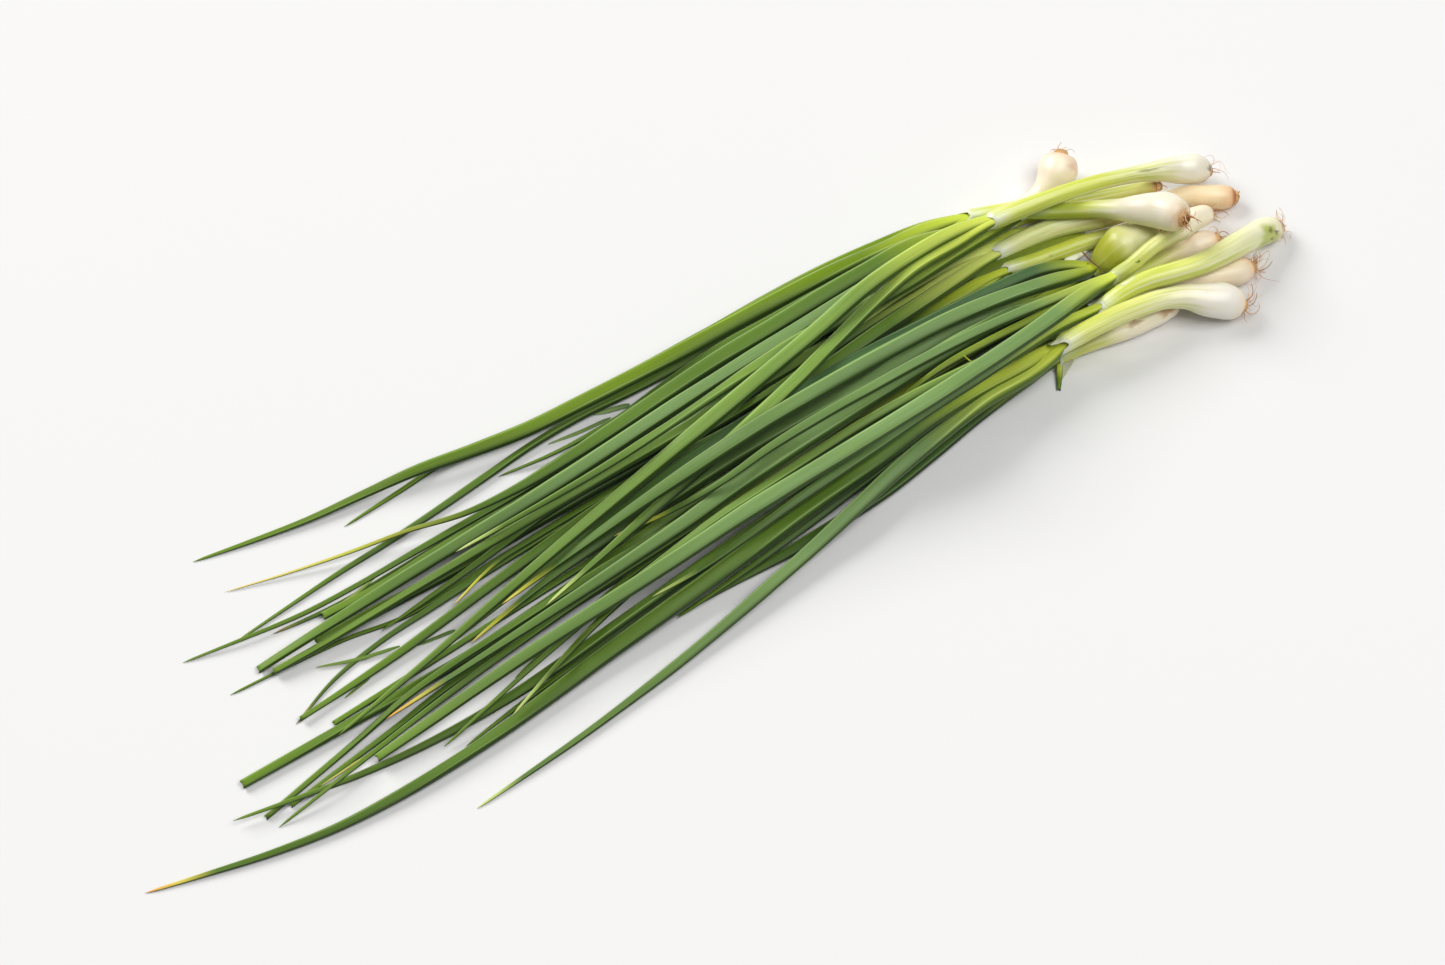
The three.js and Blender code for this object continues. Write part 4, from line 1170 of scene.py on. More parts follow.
    def _colours(self, stem: Strand, at: np.ndarray) -> tuple[np.ndarray, np.ndarray]:
        """Works out the colours up the stem, and how strongly the green lines show.

        The colours run between the tone's four, at an edge that reaches up in fingers round the stem. Then
        come the marks, and the white film that spreads down from the sheath's notch.

        Args:
            stem: The stem with close rings.
            at: How far each ring lies along it.

        Returns:
            The tint as (row, column, rgb), and the streaks as (row, column).
        """
        share = at / at[-1]
        root, belly, shaft, collar = (srgb(*c) for c in self.plant.tone.value)
        white = self.plant.white
        stops = [(0.0, root), (0.025, root * 0.4 + belly * 0.6), (0.08, belly), (white, belly),
                 (white + (1 - white) * 0.45, shaft), (1.0, collar)]
        fingers = sum(np.cos(k * self.turn + phase(self.rng)) / k**0.5 for k in self.FINGERS) * self.finger
        edge = share[:, None] + fingers[None, :] * smoothstep(0.05, 0.3, share)[:, None]
        tint = colour_rows(stops, edge)
        for patch in self.plant.patches:
            tint = self._marked(tint, patch, at, stem.radius)
        near_end = smoothstep(at[-1] - self.film_reach, at[-1], at)
        film = np.exp(-((self.from_notch / self.film_turn) ** 2))[None, :] * near_end[:, None]
        film = film * self.film_share * self.plant.film
        below, above = self.streaking
        streak = smoothstep(white - below, white + above, edge) * self.plant.streaks
        return towards(tint, self.film_colour, film[:, :, None]), streak * (1 - 0.5 * film)

    def _marked(self, tint: np.ndarray, patch: Patch, at: np.ndarray, radius: np.ndarray) -> np.ndarray:
        """Lays a mark on the skin: a soft oval whose edge swings in and out round it.

        Args:
            tint: The colours so far, as (row, column, rgb).
            patch: The mark.
            at: How far each row lies along the stem.
            radius: The rows' radii.

        Returns:
            The colours with the mark.
        """
        x = (at - patch.share * at[-1])[:, None] / (patch.length * MM)
        y = angle_from(self.turn, patch.turn)[None, :] * radius[:, None] / (patch.width * MM)
        angle = np.arctan2(y, x)
        swing = 1
        for size, waves in self.BLOTTED:
            swing = swing + size * np.cos(waves * angle + phase(self.rng))
        weight = patch.strength * (1 - smoothstep(0.55, 1.25, np.hypot(x, y) * 2 / swing))
        return towards(tint, srgb(*patch.colour), weight[:, :, None])

    def _sheath(self, tint: np.ndarray, streak: np.ndarray) -> tuple[np.ndarray, np.ndarray, np.ndarray]:
        """Carries the shaft's skin over the feet of the leaves, to a notched rim, and back inside.

        The rim dips in a U, and over its last millimetres the skin is a white film; painted shade darkens
        the rows inside.

        Args:
            tint: The shaft's last row of colours.
            streak: The shaft's last row of streaks.

        Returns:
            The rows, from the collar over the rim and back down inside, with their tint and streaks.
        """
        turn, end, axis = self.turn, self.stem.tip, self.stem.end_way
        notch = self.notch_depth * np.exp(-((self.from_notch / self.notch_turn) ** 2))
        rim = self.plant.sheath * MM * (1 - notch)
        for swing, waves in self.RAGGED:
            rim = rim + swing * np.cos(waves * turn + phase(self.rng))
        rim = np.maximum(rim, self.lowest_rim)
        shares = np.linspace(0.0, 1.0, self.sheath_rows + 1)[1:]
        start = end + circle(turn, self.side, self.top) * self.stem.radius[-1] * self.fit
        rows = []
        for share in shares:
            blend = float(smoothstep(0.0, 0.5, share))
            straight = start + axis * (rim * share)[:, None]
            rows.append(straight * (1 - blend) + self._outline(rim * share, self.loose) * blend)
        rows.append(self._outline(rim * 0.99, self.loose - self.wall))
        inner = end + (rows[-1] - end) * self.inner_width
        rows.append(inner - axis * ((inner - end) @ axis)[:, None] - axis * self.turned_in)
        left = np.concatenate([1 - shares, [0.0, 0.0]])[:, None] * rim[None, :]
        film = (1 - smoothstep(*self.rim_film, left)) * self.rim_share * self.plant.film
        film[:len(shares)] *= smoothstep(0.0, 0.5, shares)[:, None]
        colours = towards(tint[None], self.film_colour, film[:, :, None])
        # painted shade inside the sheath's rim
        colours[-2:] *= np.array(self.inner_shade)[:, None, None]
        return np.array(rows), colours, streak[None] * (1 - 0.6 * film)

    def _outline(self, heights: np.ndarray, loose: float) -> np.ndarray:
        """Works out one row of the sheath: a cord pulled round the leaves at a height over the collar.

        The cord's distance from the axis in each direction is the largest over the leaves' circles and a
        smaller one of the shaft's own, rounded with a soft maximum: the logarithm of the sum of powers.

        Args:
            heights: Each column's height over the collar.
            loose: How far outside the leaves the cord runs.

        Returns:
            The row's corners.
        """
        end, axis = self.stem.tip, self.stem.end_way
        outward = np.stack([np.cos(self.turn), np.sin(self.turn)], axis=-1)
        across = np.stack([-np.sin(self.turn), np.cos(self.turn)], axis=-1)
        reach, swing = [], []
        for leaf in self.leaves:
            rise = (leaf.centre - end) @ axis
            start = int(np.argmin(np.abs(rise)))
            keep = slice(start, start + self.leaf_rings)
            flat = np.stack([(leaf.centre[keep] - end) @ way for way in (self.side, self.top)], axis=-1)
            near = np.stack([np.interp(heights, rise[keep], flat[:, k]) for k in range(2)], axis=-1)
            size = np.interp(heights, rise[keep], leaf.radius[keep])
            reach.append((near * outward).sum(axis=-1) + size + loose)
            swing.append((near * across).sum(axis=-1))
        fade = 1 - smoothstep(0.0, self.waist_at, heights)
        own = self.waist + (1 - self.waist) * fade
        reach.append(float(self.stem.radius[-1]) * self.fit * own)
        swing.append(0 * heights)
        reach, swing = np.array(reach), np.array(swing)
        weight = np.exp((reach - reach.max(axis=0)) / self.rounding)
        outer = reach.max(axis=0) + self.rounding * (np.log(weight.sum(axis=0)) - 0.5)
        weight /= weight.sum(axis=0)
        swing = (weight * swing).sum(axis=0)
        plane = outward * outer[:, None] + across * swing[:, None]
        return end + axis * heights[:, None] + self.side * plane[:, :1] + self.top * plane[:, 1:]


# ---------------------------------------------------------------- leaves
@dataclass
class LeafSet:
    """All leaves of one plant, each from inside its sheath to its tip or cut end."""

    SEED: ClassVar[int] = 300
    # The rows inside a cut end: how deep as a share of the hollow, and how bright as a share of the end,
    # which paints a highlight on the rim and shade deeper in.
    INSIDE: ClassVar[tuple[tuple[float, float], ...]] = ((0.0, 1.1), (0.4, 0.6), (1.0, 0.35))
    LIGHT_WAY: ClassVar[np.ndarray] = np.array([-0.15, 0.35, 0.92])  # the way towards the key light; painted shade darkens the leaf's sides that face away from it
    SHADED_SHARE: ClassVar[np.ndarray] = np.array([0.15, 0.23, 0.04])  # the colour's share left in that painted shade
    HIGHLIGHT_GAIN: ClassVar[np.ndarray] = np.array([1.5, 1.5, 1.2])  # brightens the colour in the painted highlight on its blunt edges
    EDGE_HIGHLIGHT: ClassVar[tuple[int, int, int]] = (204, 222, 172)  # the pale colour of that painted highlight
    YOUNG: ClassVar[tuple[int, int, int]] = (204, 222, 64)  # a leaf's foot
    DEEP: ClassVar[tuple[int, int, int]] = (72, 106, 0)  # mixed in towards its end
    FRESH_END: ClassVar[tuple[int, int, int]] = (128, 164, 24)  # mixed in at a green tip

    plant: Plant
    stem: Strand
    columns: int = 32
    step: float = 2.2 * MM  # between rings
    rooted_in: float = 12.0 * MM  # how far under the collar a leaf starts
    spread: float = 0.34  # how far off the axis it leaves the collar, as a share of the collar's radius
    foot_width: float = 0.6  # its radius there, likewise
    foot_length: float = 26 * MM  # over which it grows to its own width
    lead_step: float = 8 * MM
    greening: float = 0.8  # the yellow-green's reach as a share of the leaf's `base`
    tint_wave: float = 90 * MM
    freeing: tuple[float, float] = (6 * MM, 45 * MM)  # over the collar: from where to where it flattens
    twist: float = 24.0  # how far it turns about its line, in degrees
    twist_wave: float = 170 * MM
    flat_wave: float = 120 * MM
    flatter: tuple[float, float] = (-0.12, 0.06)  # the least and most added to a leaf's flatness
    width_wave: float = 60 * MM
    foot_from: tuple[float, float] = (0.5, 1.2)  # a wide foot sets in between these shares of `rooted_in`
    foot_to: tuple[float, float] = (3.5, 7.0)  # and is lost again between these
    slimming: tuple[float, float] = (0.55, 0.8)  # the shares of the length between which it grows slim
    crease: float = 0.035  # the creases' depth as a share of the width
    creases: int = 7
    point: float = 5 * MM  # over which a tip closes
    ragged: float = 0.3 * MM
    wall: float = 0.55 * MM
    hollow: float = 8.0 * MM  # how deep a cut end is hollow
    highlight_width: float = 0.16  # of the painted highlight on a blunt edge, as sine less cosine
    highlight_share: float = 0.6  # how much of that painted highlight shows
    near_enough: float = 3.0  # a tip may be this far from its rough place, in millimetres

    def __post_init__(self) -> None:
        """Lays out the columns."""
        self.turn = turns(self.columns)

    def lead_in(self, leaf: Strand) -> Strand:
        """Leads a leaf from inside the shaft to its first free ring.

        The lead is the cubic that leaves the collar along the shaft and meets the ring along the leaf; its
        radius grows from just over half the shaft's to the leaf's own.

        Args:
            leaf: The leaf from its first free ring on.

        Returns:
            The whole leaf.
        """
        end, axis = self.stem.tip, self.stem.end_way
        collar = float(self.stem.radius[-1])
        first, heading = leaf.centre[0], unit(leaf.centre[1] - leaf.centre[0])
        aim = first - end
        aim = aim - axis * (aim @ axis)
        foot = end + unit(aim) * min(self.spread * collar, np.linalg.norm(aim) * 0.5)
        span = np.linalg.norm(first - foot)
        t = np.linspace(0, 1, max(3, int(span / self.lead_step)))[:-1]
        lead = cubic(foot, axis, first, heading, t)
        grown = smoothstep(0.0, max(self.foot_length, span), t * span)
        radius = min(self.foot_width * collar, leaf.radius[0]) * (1 - grown) + leaf.radius[0] * grown
        return Strand(
            np.vstack([foot - axis * self.rooted_in, foot - axis * 5 * MM, lead, leaf.centre]),
            np.concatenate([[0.35 * collar, 0.5 * collar], radius, leaf.radius]),
            leaf.is_open,
        )

    def matched(self, found: list[Strand]) -> list[Strand]:
        """Finds for each leaf of the plant the strand that ends at its tip, and leads it in from the shaft.

        Args:
            found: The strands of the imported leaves.

        Returns:
            The leaves in the plant's order.
        """
        strands = []
        for look in self.plant.leaves:
            away = [float(np.hypot(*(strand.tip[:2] / MM - np.array(look.tip)))) for strand in found]
            off = min(away)
            level = logging.WARNING if off > self.near_enough else logging.DEBUG
            LOG.log(level, "%s: leaf %s is %.1f mm off", self.plant.name, look.tip, off)
            strands.append(self.lead_in(found[away.index(off)]))
        return strands

    def skin(self, strands: list[Strand]) -> Skin:
        """Draws the plant's leaves.

        Args:
            strands: The leaves in the plant's order.

        Returns:
            The skin of all leaves.
        """
        rng = np.random.default_rng(self.SEED + self.plant.number)
        skin = Skin(f"{self.plant.name}_leaf_set")
        for strand, look in zip(strands, self.plant.leaves):
            self._add(skin, strand, look, rng)
        return skin

    def _add(self, skin: Skin, leaf: Strand, look: Leaf, rng: np.random.Generator) -> None:
        """Draws one leaf: a flattened oval carried along its line, which turns slowly about it.

        The oval is a superellipse: the cosine and sine of the angle, each to the power `boxy` with its sign
        kept, times half the width and half the height. A pointed leaf narrows over its last part as the
        square root of the distance to the tip; a cut one turns back inside at a ragged rim.

        Args:
            skin: Where the leaf is added.
            leaf: Its line and radii.
            look: Its tone, end and flatness.
            rng: The plant's random numbers.
        """
        line = leaf.resampled(self.step)
        at = lengths_along(line.centre)
        total = at[-1]
        side, top = line.axes()
        free = smoothstep(*(self.rooted_in + length for length in self.freeing), at)
        swing = np.radians(self.twist) * wander(rng, at, self.twist_wave) * free
        across = side * np.cos(swing)[:, None] + top * np.sin(swing)[:, None]
        over = top * np.cos(swing)[:, None] - side * np.sin(swing)[:, None]
        flat = look.flat + rng.uniform(*self.flatter) + 0.05 * wander(rng, at, self.flat_wave)
        flat = 1 + (flat - 1) * free
        wide = line.radius * (0.98 + 0.03 * free * wander(rng, at, self.width_wave))
        place = at / self.rooted_in
        foot = smoothstep(*self.foot_from, place) * (1 - smoothstep(*self.foot_to, place))
        wide = wide * (1 + (look.foot - 1) * foot)
        wide = wide * (1 - (1 - look.slim) * smoothstep(*(share * total for share in self.slimming), at))
        if not line.is_open:
            wide = wide * np.sqrt(np.clip((total - at) / self.point, 0.02, 1.0))
        turn = self.turn
        x, y = (np.sign(wave) * np.abs(wave) ** look.boxy for wave in (np.cos(turn), np.sin(turn)))
        crease = 1 + self.crease * look.lines * np.cos(self.creases * turn)[None, :] * free[:, None]
        high = (wide * flat)[:, None] * y[None, :] * crease
        rows = ovals(line.centre, across, over, wide[:, None] * x[None, :] * crease, high)
        tint = self._with_painted_light(self._tint(look, at, rng), over, across, free)
        number = rng.uniform(0, 400)
        grain = grain_rows(turn, at / MM, float(np.max(leaf.radius)) / MM, number)
        if line.is_open:
            along = unit(line.centre[-1] - line.centre[-3])
            ragged = self.ragged * (np.cos(2 * turn + number) + 0.4 * np.cos(5 * turn + 2 * number))
            rows[-1] = rows[-1] + along * ragged[:, None]
            rows = np.concatenate([rows, self._hollow_rows(rows[-1], along, wide[-1])])
            # painted highlight at the cut rim, painted shade deeper in the hollow
            tint = np.concatenate([tint, *(tint[-1:] * light for _, light in self.INSIDE)])
            grain = np.concatenate([grain, *(grain[-1:] for _ in self.INSIDE)])
        skin.add(rows, tint, grain)

    def _hollow_rows(self, end: np.ndarray, along: np.ndarray, width: float) -> list[np.ndarray]:
        """Works out the rows inside a cut end: the rim, narrower by the wall, moved back down the leaf.

        Args:
            end: The rim's corners.
            along: The leaf's direction there.
            width: Half its width there.

        Returns:
            The rows.
        """
        middle = end.mean(axis=0)
        rim = middle + (end - middle) * (1 - self.wall / max(width, self.wall * 2))
        return [rim - along * self.hollow * depth for depth, _ in self.INSIDE]

    def _with_painted_light(
        self, tint: np.ndarray, over: np.ndarray, across: np.ndarray, free: np.ndarray
    ) -> np.ndarray:
        """Spreads the colour along a leaf round it.

        It is darkened to deep green by painted shade on the sides turned away from the key light, with a
        painted highlight along the leaf's four blunt edges on its lit sides. The lit share is a smooth step
        on how far the corner's own direction points up and towards the light; the highlight is a bell round
        the angles where sine and cosine are equally large.

        Args:
            tint: The colour of each row.
            over: Each row's direction over the leaf.
            across: Each row's direction across it.
            free: How far each row is out of the sheath, 0 to 1.

        Returns:
            The colour of each corner, as (row, column, rgb).
        """
        cos, sin = np.cos(self.turn), np.sin(self.turn)
        height = (over @ self.LIGHT_WAY)[:, None] * sin[None, :] + (across @ self.LIGHT_WAY)[:, None] * cos[None, :]
        # bloom is the lit share here: 0 in the painted shade, 1 on the sides facing the light
        bloom = smoothstep(0.0, 0.82, height)[:, :, None]
        tint = tint[:, None, :]
        colour = towards(tint * self.SHADED_SHARE, tint, bloom)
        # painted highlight: a pale line along the blunt edges, on the lit sides only
        bell = np.exp(-(((np.abs(cos) - np.abs(sin)) / self.highlight_width) ** 2))
        line = bell[None, :, None] * self.highlight_share * free[:, None, None]
        edge = srgb(*self.EDGE_HIGHLIGHT) * 0.38 + tint * self.HIGHLIGHT_GAIN
        return colour + (edge - colour) * line * bloom

    def _tint(self, look: Leaf, at: np.ndarray, rng: np.random.Generator) -> np.ndarray:
        """Works out the colour along a leaf: the shaft's, its yellow-green foot, its tone and its end.

        Args:
            look: The leaf's looks.
            at: How far each row lies along it.
            rng: The plant's random numbers.

        Returns:
            The colour of each row.
        """
        total = at[-1]
        start = self.rooted_in + 0.8 * self.plant.sheath * MM
        base = look.base * self.greening * MM
        collar = srgb(*self.plant.tone.value[3])
        tone = srgb(*look.tone.value) * rng.uniform(0.92, 1.08)
        young = srgb(*self.YOUNG) * 0.5 + collar * 0.5
        outer = tone * 0.34 + srgb(*self.DEEP) * 0.66
        stops = [
            (0.0, collar),
            (start - MM, young),
            (start, young),
            (start + 0.35 * base, young * 0.62 + tone * 0.38),
            (start + base, tone),
            (max(0.5 * total, start + base + MM), tone),
            (max(0.78 * total, start + base + 1.5 * MM), outer),
        ]
        long, near, last = look.end.value
        far = max(total - min(long * MM, 0.5 * (total - start)), start + base + 2 * MM)
        if near is None:
            stops += [(total, outer * 0.6 + srgb(*self.FRESH_END) * 0.4)]
        else:
            stops = [stop for stop in stops if stop[0] < far]
            stops += [(far, outer), ((far + total) / 2, srgb(*near)), (total, srgb(*last))]
        stops = sorted(stops, key=lambda stop: stop[0])
        return colour_rows(stops, at) * (1 + 0.06 * wander(rng, at, self.tint_wave))[:, None]


# ---------------------------------------------------------------- roots
@dataclass
class RootTuft:
    """The hard plate under a bulb with its roots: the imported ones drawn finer, and thin hairs between."""

    SEED: ClassVar[int] = 700
    STRAWS: ClassVar[tuple[tuple[int, int, int], ...]] = (
        (252, 232, 202), (244, 212, 168), (226, 174, 118), (186, 124, 72)
    )

    PLATE_BROWN: ClassVar[tuple[int, int, int]] = (150, 96, 50)
    PLATE_STRAW: ClassVar[tuple[int, int, int]] = (222, 178, 120)
    # The plate's rings: depth and width as shares of its own, and how lumpy each is.
    DEPTHS: ClassVar[np.ndarray] = np.array([-1.2, -0.2, 0.3, 0.75, 1.0, 1.08])
    WIDTHS: ClassVar[np.ndarray] = np.array([0.7, 1.0, 1.0, 0.86, 0.6, 0.25])
    LUMPS: ClassVar[np.ndarray] = np.array([0, 0.4, 1, 1, 1, 1])

    plant: Plant
    stem: Strand
    roots: list[Strand]
    others: Strand
    columns: int = 8
    step: float = 0.7 * MM  # between a root's rings
    plate: float = 3.1 * MM  # the plate's most radius
    plate_depth: float = 1.7 * MM
    plate_columns: int = 20
    thinning: float = 0.42  # a root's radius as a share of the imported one
    fibre_wave: float = 2.5 * MM  # of a root's uneven width
    fibre_point: float = 0.12  # over which it closes, as a share of its length
    hair: float = 0.13 * MM  # a hair's radius where it starts
    hair_steps: int = 14
    hair_shares: tuple[float, float] = (0.5, 1.3)  # its length as shares of the plant's `hair_length`
    leaning: tuple[float, float] = (0.3, 1.6)  # how far out it sets off, for one part along the bulb's axis
    sagging: tuple[float, float] = (0.0, 0.6)  # and how far down
    curling: tuple[float, float] = (0.12, 0.6)  # how far it turns at a step, in radians
    rooting: tuple[float, float] = (0.3, 0.9)  # how far from the plate's middle it starts, as a share
    hair_tries: int = 20  # for each hair that is wanted
    clear: float = 0.15 * MM  # a hair stays this far off other strands
    sinking: float = 0.2 * MM  # and sinks no deeper into its own bulb

    def __post_init__(self) -> None:
        """Works out the root end's place, directions and radius, and starts the plant's random numbers."""
        self.rng = np.random.default_rng(self.SEED + self.plant.number)
        self.base = self.stem.centre[0]
        self.axis = unit(self.base - self.stem.centre[1])
        self.side, self.top = square_to(self.axis)
        self.radius = min(self.plate, float(self.stem.radius[0])) * 1.02

    def skin(self) -> Skin:
        """Draws the plate, the roots and the hairs.

        Returns:
            The skin of the whole tuft.
        """
        skin = Skin(f"{self.plant.name}_root_tuft")
        self._add_plate(skin)
        for root in self.roots:
            thin = root.radius * self.thinning
            start = root.centre[0] * 0.4 + self.base * 0.6
            self._add_fibre(skin, Strand(np.vstack([start, root.centre]), np.concatenate([thin[:1], thin])))
        tries = (self._hair() for _ in range(self.hair_tries * self.plant.hairs))
        free = list(islice((hair for hair in tries if self._is_free(hair)), self.plant.hairs))
        LOG.info("%s: %d of %d hairs have room", self.plant.name, len(free), self.plant.hairs)
        for hair in free:
            self._add_fibre(skin, hair)
        return skin

    def _is_free(self, hair: Strand) -> bool:
        """Tells whether a hair stays clear of the other strands and, past its first part, of its own bulb.

        The own bulb is taken as balls on its line, each no larger than its way from the root end.

        Args:
            hair: The hair.

        Returns:
            Whether it has room.
        """
        gap = np.linalg.norm(hair.centre[:, None] - self.others.centre[None], axis=-1) - self.others.radius
        own = self.stem.resampled(FINE_STEP)
        ball = np.minimum(own.radius, lengths_along(own.centre) + 0.3 * MM)
        away = np.linalg.norm(hair.centre[2:, None] - own.centre[None], axis=-1) - ball
        return bool(gap.min() > self.clear and away.min() > -self.sinking)

    def _hair(self) -> Strand:
        """Lays out a thin root that curls: its heading turns by a steady angle at each of its steps.

        Returns:
            The root's line, which may run into something.
        """
        rng = self.rng
        angle = rng.uniform(0, FULL_TURN)
        out = self.side * np.cos(angle) + self.top * np.sin(angle)
        step = self.plant.hair_length * MM * rng.uniform(*self.hair_shares) / self.hair_steps
        heading = unit(self.axis + out * rng.uniform(*self.leaning) - UP * rng.uniform(*self.sagging))
        bend = unit(np.cross(heading, out) + rng.normal(0, 0.7, 3)) * rng.uniform(*self.curling)
        points = [self.base + self.axis * 0.9 * MM + out * self.radius * rng.uniform(*self.rooting)]
        for _ in range(self.hair_steps):
            points.append(points[-1] + heading * step)
            heading = unit(heading + np.cross(bend, heading) + rng.normal(0, 0.16, 3))
        centre = np.array(points)
        centre[:, 2] = np.maximum(centre[:, 2], 0.3 * MM)
        return Strand(centre, np.linspace(1.0, 0.45, len(centre)) * self.hair)

    def _add_plate(self, skin: Skin) -> None:
        """Adds the plate: circles that widen a little, then close in a lumpy end.

        Args:
            skin: Where it is added.
        """
        depth = self.DEPTHS * self.plate_depth
        width = self.WIDTHS * self.radius
        size = (len(depth), self.plate_columns)
        lump = 1 + 0.08 * self.rng.normal(0, 1, size) * self.LUMPS[:, None]
        deep = depth[:, None, None] * (1 + 0.1 * self.rng.normal(0, 1, (*size, 1)))
        ring = circle(turns(self.plate_columns), self.side, self.top)
        rows = self.base + self.axis * deep + ring[None] * (width[:, None] * lump)[:, :, None]
        brown, straw = srgb(*self.PLATE_BROWN), srgb(*self.PLATE_STRAW)
        stops = [(0.0, straw), (0.5, straw), (0.8, brown), (1.0, brown * 0.7)]
        tint = all_round(colour_rows(stops, np.linspace(0, 1, len(depth))), self.plate_columns)
        tint = tint * (1 + 0.15 * self.rng.normal(0, 1, (*size, 1)))
        skin.add(rows, tint, (rows - self.base) / MM + 9.0 * self.plant.number)

    def _add_fibre(self, skin: Skin, line: Strand) -> None:
        """Adds one root: circles along its line, thinning to the tip.

        Args:
            skin: Where it is added.
            line: Its line and radii.
        """
        fine = line.resampled(self.step)
        at = lengths_along(fine.centre)
        share = at / at[-1]
        radius = fine.radius * (1 - 0.35 * share) * (1 + 0.12 * wander(self.rng, at, self.fibre_wave))
        radius = radius * np.sqrt(np.clip((1 - share) / self.fibre_point, 0.05, 1))
        rows = fine.centre[:, None, :] + circle(turns(self.columns), *fine.axes()) * radius[:, None, None]
        straw = srgb(*self.rng.choice(self.STRAWS))
        tint = colour_rows([(0.0, straw * 0.9), (0.3, straw), (0.8, straw * 0.9), (1.0, straw * 0.6)], share)
        skin.add(rows, all_round(tint, self.columns), rows / MM)


# ---------------------------------------------------------------- loose scraps
@dataclass(frozen=True)
class Scrap:
    """A loose scrap. Its lengths are in millimetres."""

    route: tuple[tuple[float, float], ...]  # on the floor plan
    width: float
    start: tuple[int, int, int]  # its colour at the first place
    end: tuple[int, int, int]  # its colour at the last
    lift: float = 0.5  # how far it lies over what is under it
    height: float | None = None  # the height at which it lies between the stems instead


SCRAPS = (
    Scrap(((148.0, 17.0), (165.3, 17.7), (178.0, 14.5), (190.0, 10.0), (199.0, 6.5)), 8.0,
          (150, 172, 34), (206, 214, 96), height=5.0),
    Scrap(((149.0, 8.0), (160.0, 6.0), (171.0, 4.6), (183.5, 2.6), (194.0, 0.4), (204.0, -1.8)), 8.5,
          (84, 106, 22), (136, 150, 40), height=3.6),
    Scrap(((-2.8, 39.1), (-17.8, 43.6)), 2.4, (96, 128, 66), (150, 176, 110)),
    Scrap(((-12.8, 38.4), (-27, 40), (-40.8, 42.6)), 1.6, (100, 132, 66), (140, 166, 90)),
    Scrap(((-127.8, 32.1), (-141, 29), (-152.8, 28.1)), 1.4, (104, 136, 50), (150, 160, 80)),
    Scrap(((-140.8, -1.4), (-157, 3), (-172.8, 9.6)), 1.6, (88, 122, 36), (120, 148, 60)),
    Scrap(((-118.8, -7.9), (-135.8, -5.0)), 1.5, (84, 118, 40), (96, 124, 50)),
    Scrap(((-157.8, -6.4), (-170.8, -8.4)), 1.2, (88, 120, 40), (120, 140, 60)),
    Scrap(((-177.8, -34.4), (-194, -35), (-209.8, -34.6)), 1.1, (190, 190, 90), (210, 204, 120)),
    Scrap(((124.8, -19.4), (125.0, -22.5), (125.8, -25.9)), 0.8, (196, 206, 60), (170, 186, 50)),
    Scrap(((187.8, -8.1), (193.2, -8.7), (199.6, -8.8)), 3.2, (254, 254, 238), (244, 246, 212), 2.4),
    Scrap(((197.5, -8.0), (197.5, -14.2), (198.5, -19.9)), 0.9, (120, 84, 60), (86, 58, 40), 4.0),
    Scrap(((200.3, -31.1), (204.0, -31.9), (208.2, -31.2)), 1.9, (238, 242, 214), (228, 236, 190), 0.4),
)


@dataclass
class LooseScraps:
    """Bits of dry leaf, film and root that lie on the bunch, as one piece."""

    SEED: ClassVar[int] = 55

    under: Strand
    eye: np.ndarray
    columns: int = 12
    rows: int = 16
    flatness: float = 0.4  # a scrap's height as a share of its width
    settling: int = 4  # times that a scrap is laid down again

    def skin(self) -> Skin:
        """Draws each scrap as a thin, pointed oval along its route.

        Returns:
            The skin of all scraps.
        """
        rng = np.random.default_rng(self.SEED)
        skin = Skin("loose_scraps")
        for scrap in SCRAPS:
            self._add(skin, scrap, rng)
        return skin

    def _top(self, place: np.ndarray) -> np.ndarray:
        """Works out how high the bunch is at each place: the highest circle of a strand over it.

        Args:
            place: The places, of which the height is left out.

        Returns:
            The heights.
        """
        away = np.linalg.norm(self.under.centre[None, :, :2] - place[:, None, :2], axis=-1)
        rise = np.sqrt(np.maximum(self.under.radius[None] ** 2 - away**2, 0.0))
        high = self.under.centre[None, :, 2] + 0.8 * rise
        return np.where(away < self.under.radius[None], high, 0.0).max(axis=1)

    def _lifted(self, flat: np.ndarray, height: np.ndarray) -> np.ndarray:
        """Returns places on the floor lifted to a height, each straight towards the eye."""
        return flat + (self.eye - flat) * (height / self.eye[2])[:, None]

    def _height(self, flat: np.ndarray, scrap: Scrap) -> np.ndarray:
        """Works out how high a scrap lies: a straight line over the tops of what is under it.

        Args:
            flat: The scrap's places on the floor.
            scrap: The scrap.

        Returns:
            Each place's height.
        """
        if scrap.height is not None:
            return np.full(self.rows, scrap.height * MM)
        height = np.zeros(self.rows)
        for _ in range(self.settling):
            height = self._top(self._lifted(flat, height))
        number = np.arange(self.rows)
        trend = np.polynomial.Polynomial.fit(number, height, 1)(number)
        return trend + max(0.0, float((height - trend).max()) * 0.5) + scrap.lift * MM

    def _add(self, skin: Skin, scrap: Scrap, rng: np.random.Generator) -> None:
        """Adds one scrap: flat ovals along its route, blunt at the start and pointed at the end.

        Args:
            skin: Where it is added.
            scrap: The scrap.
            rng: The random numbers.
        """
        route = np.array([(x, y, 0.0) for x, y in scrap.route]) * MM
        share = np.linspace(0, 1, self.rows)
        if len(route) > 2:
            at = lengths_along(route)
            flat = carried(route, at, np.linspace(0, at[-1], self.rows))
        else:
            flat = route[0] + (route[1] - route[0]) * share[:, None]
        centre = self._lifted(flat, self._height(flat, scrap))
        line = Strand(centre, np.full(self.rows, scrap.width / 2 * MM))
        ends = np.sqrt(np.clip((1.02 - share) * 2.5, 0, 1))
        radius = line.radius * ends * np.sqrt(np.clip(0.15 + share * 6, 0, 1))
        side, top = line.axes()
        turn = turns(self.columns)
        high = radius[:, None] * self.flatness * np.sin(turn)[None]
        rows = ovals(centre, side, top, radius[:, None] * np.cos(turn)[None], high)
        tint = colour_rows([(0.0, srgb(*scrap.start)), (1.0, srgb(*scrap.end))], share)
        skin.add(rows, all_round(tint, self.columns), rows / MM + rng.uniform(0, 90))


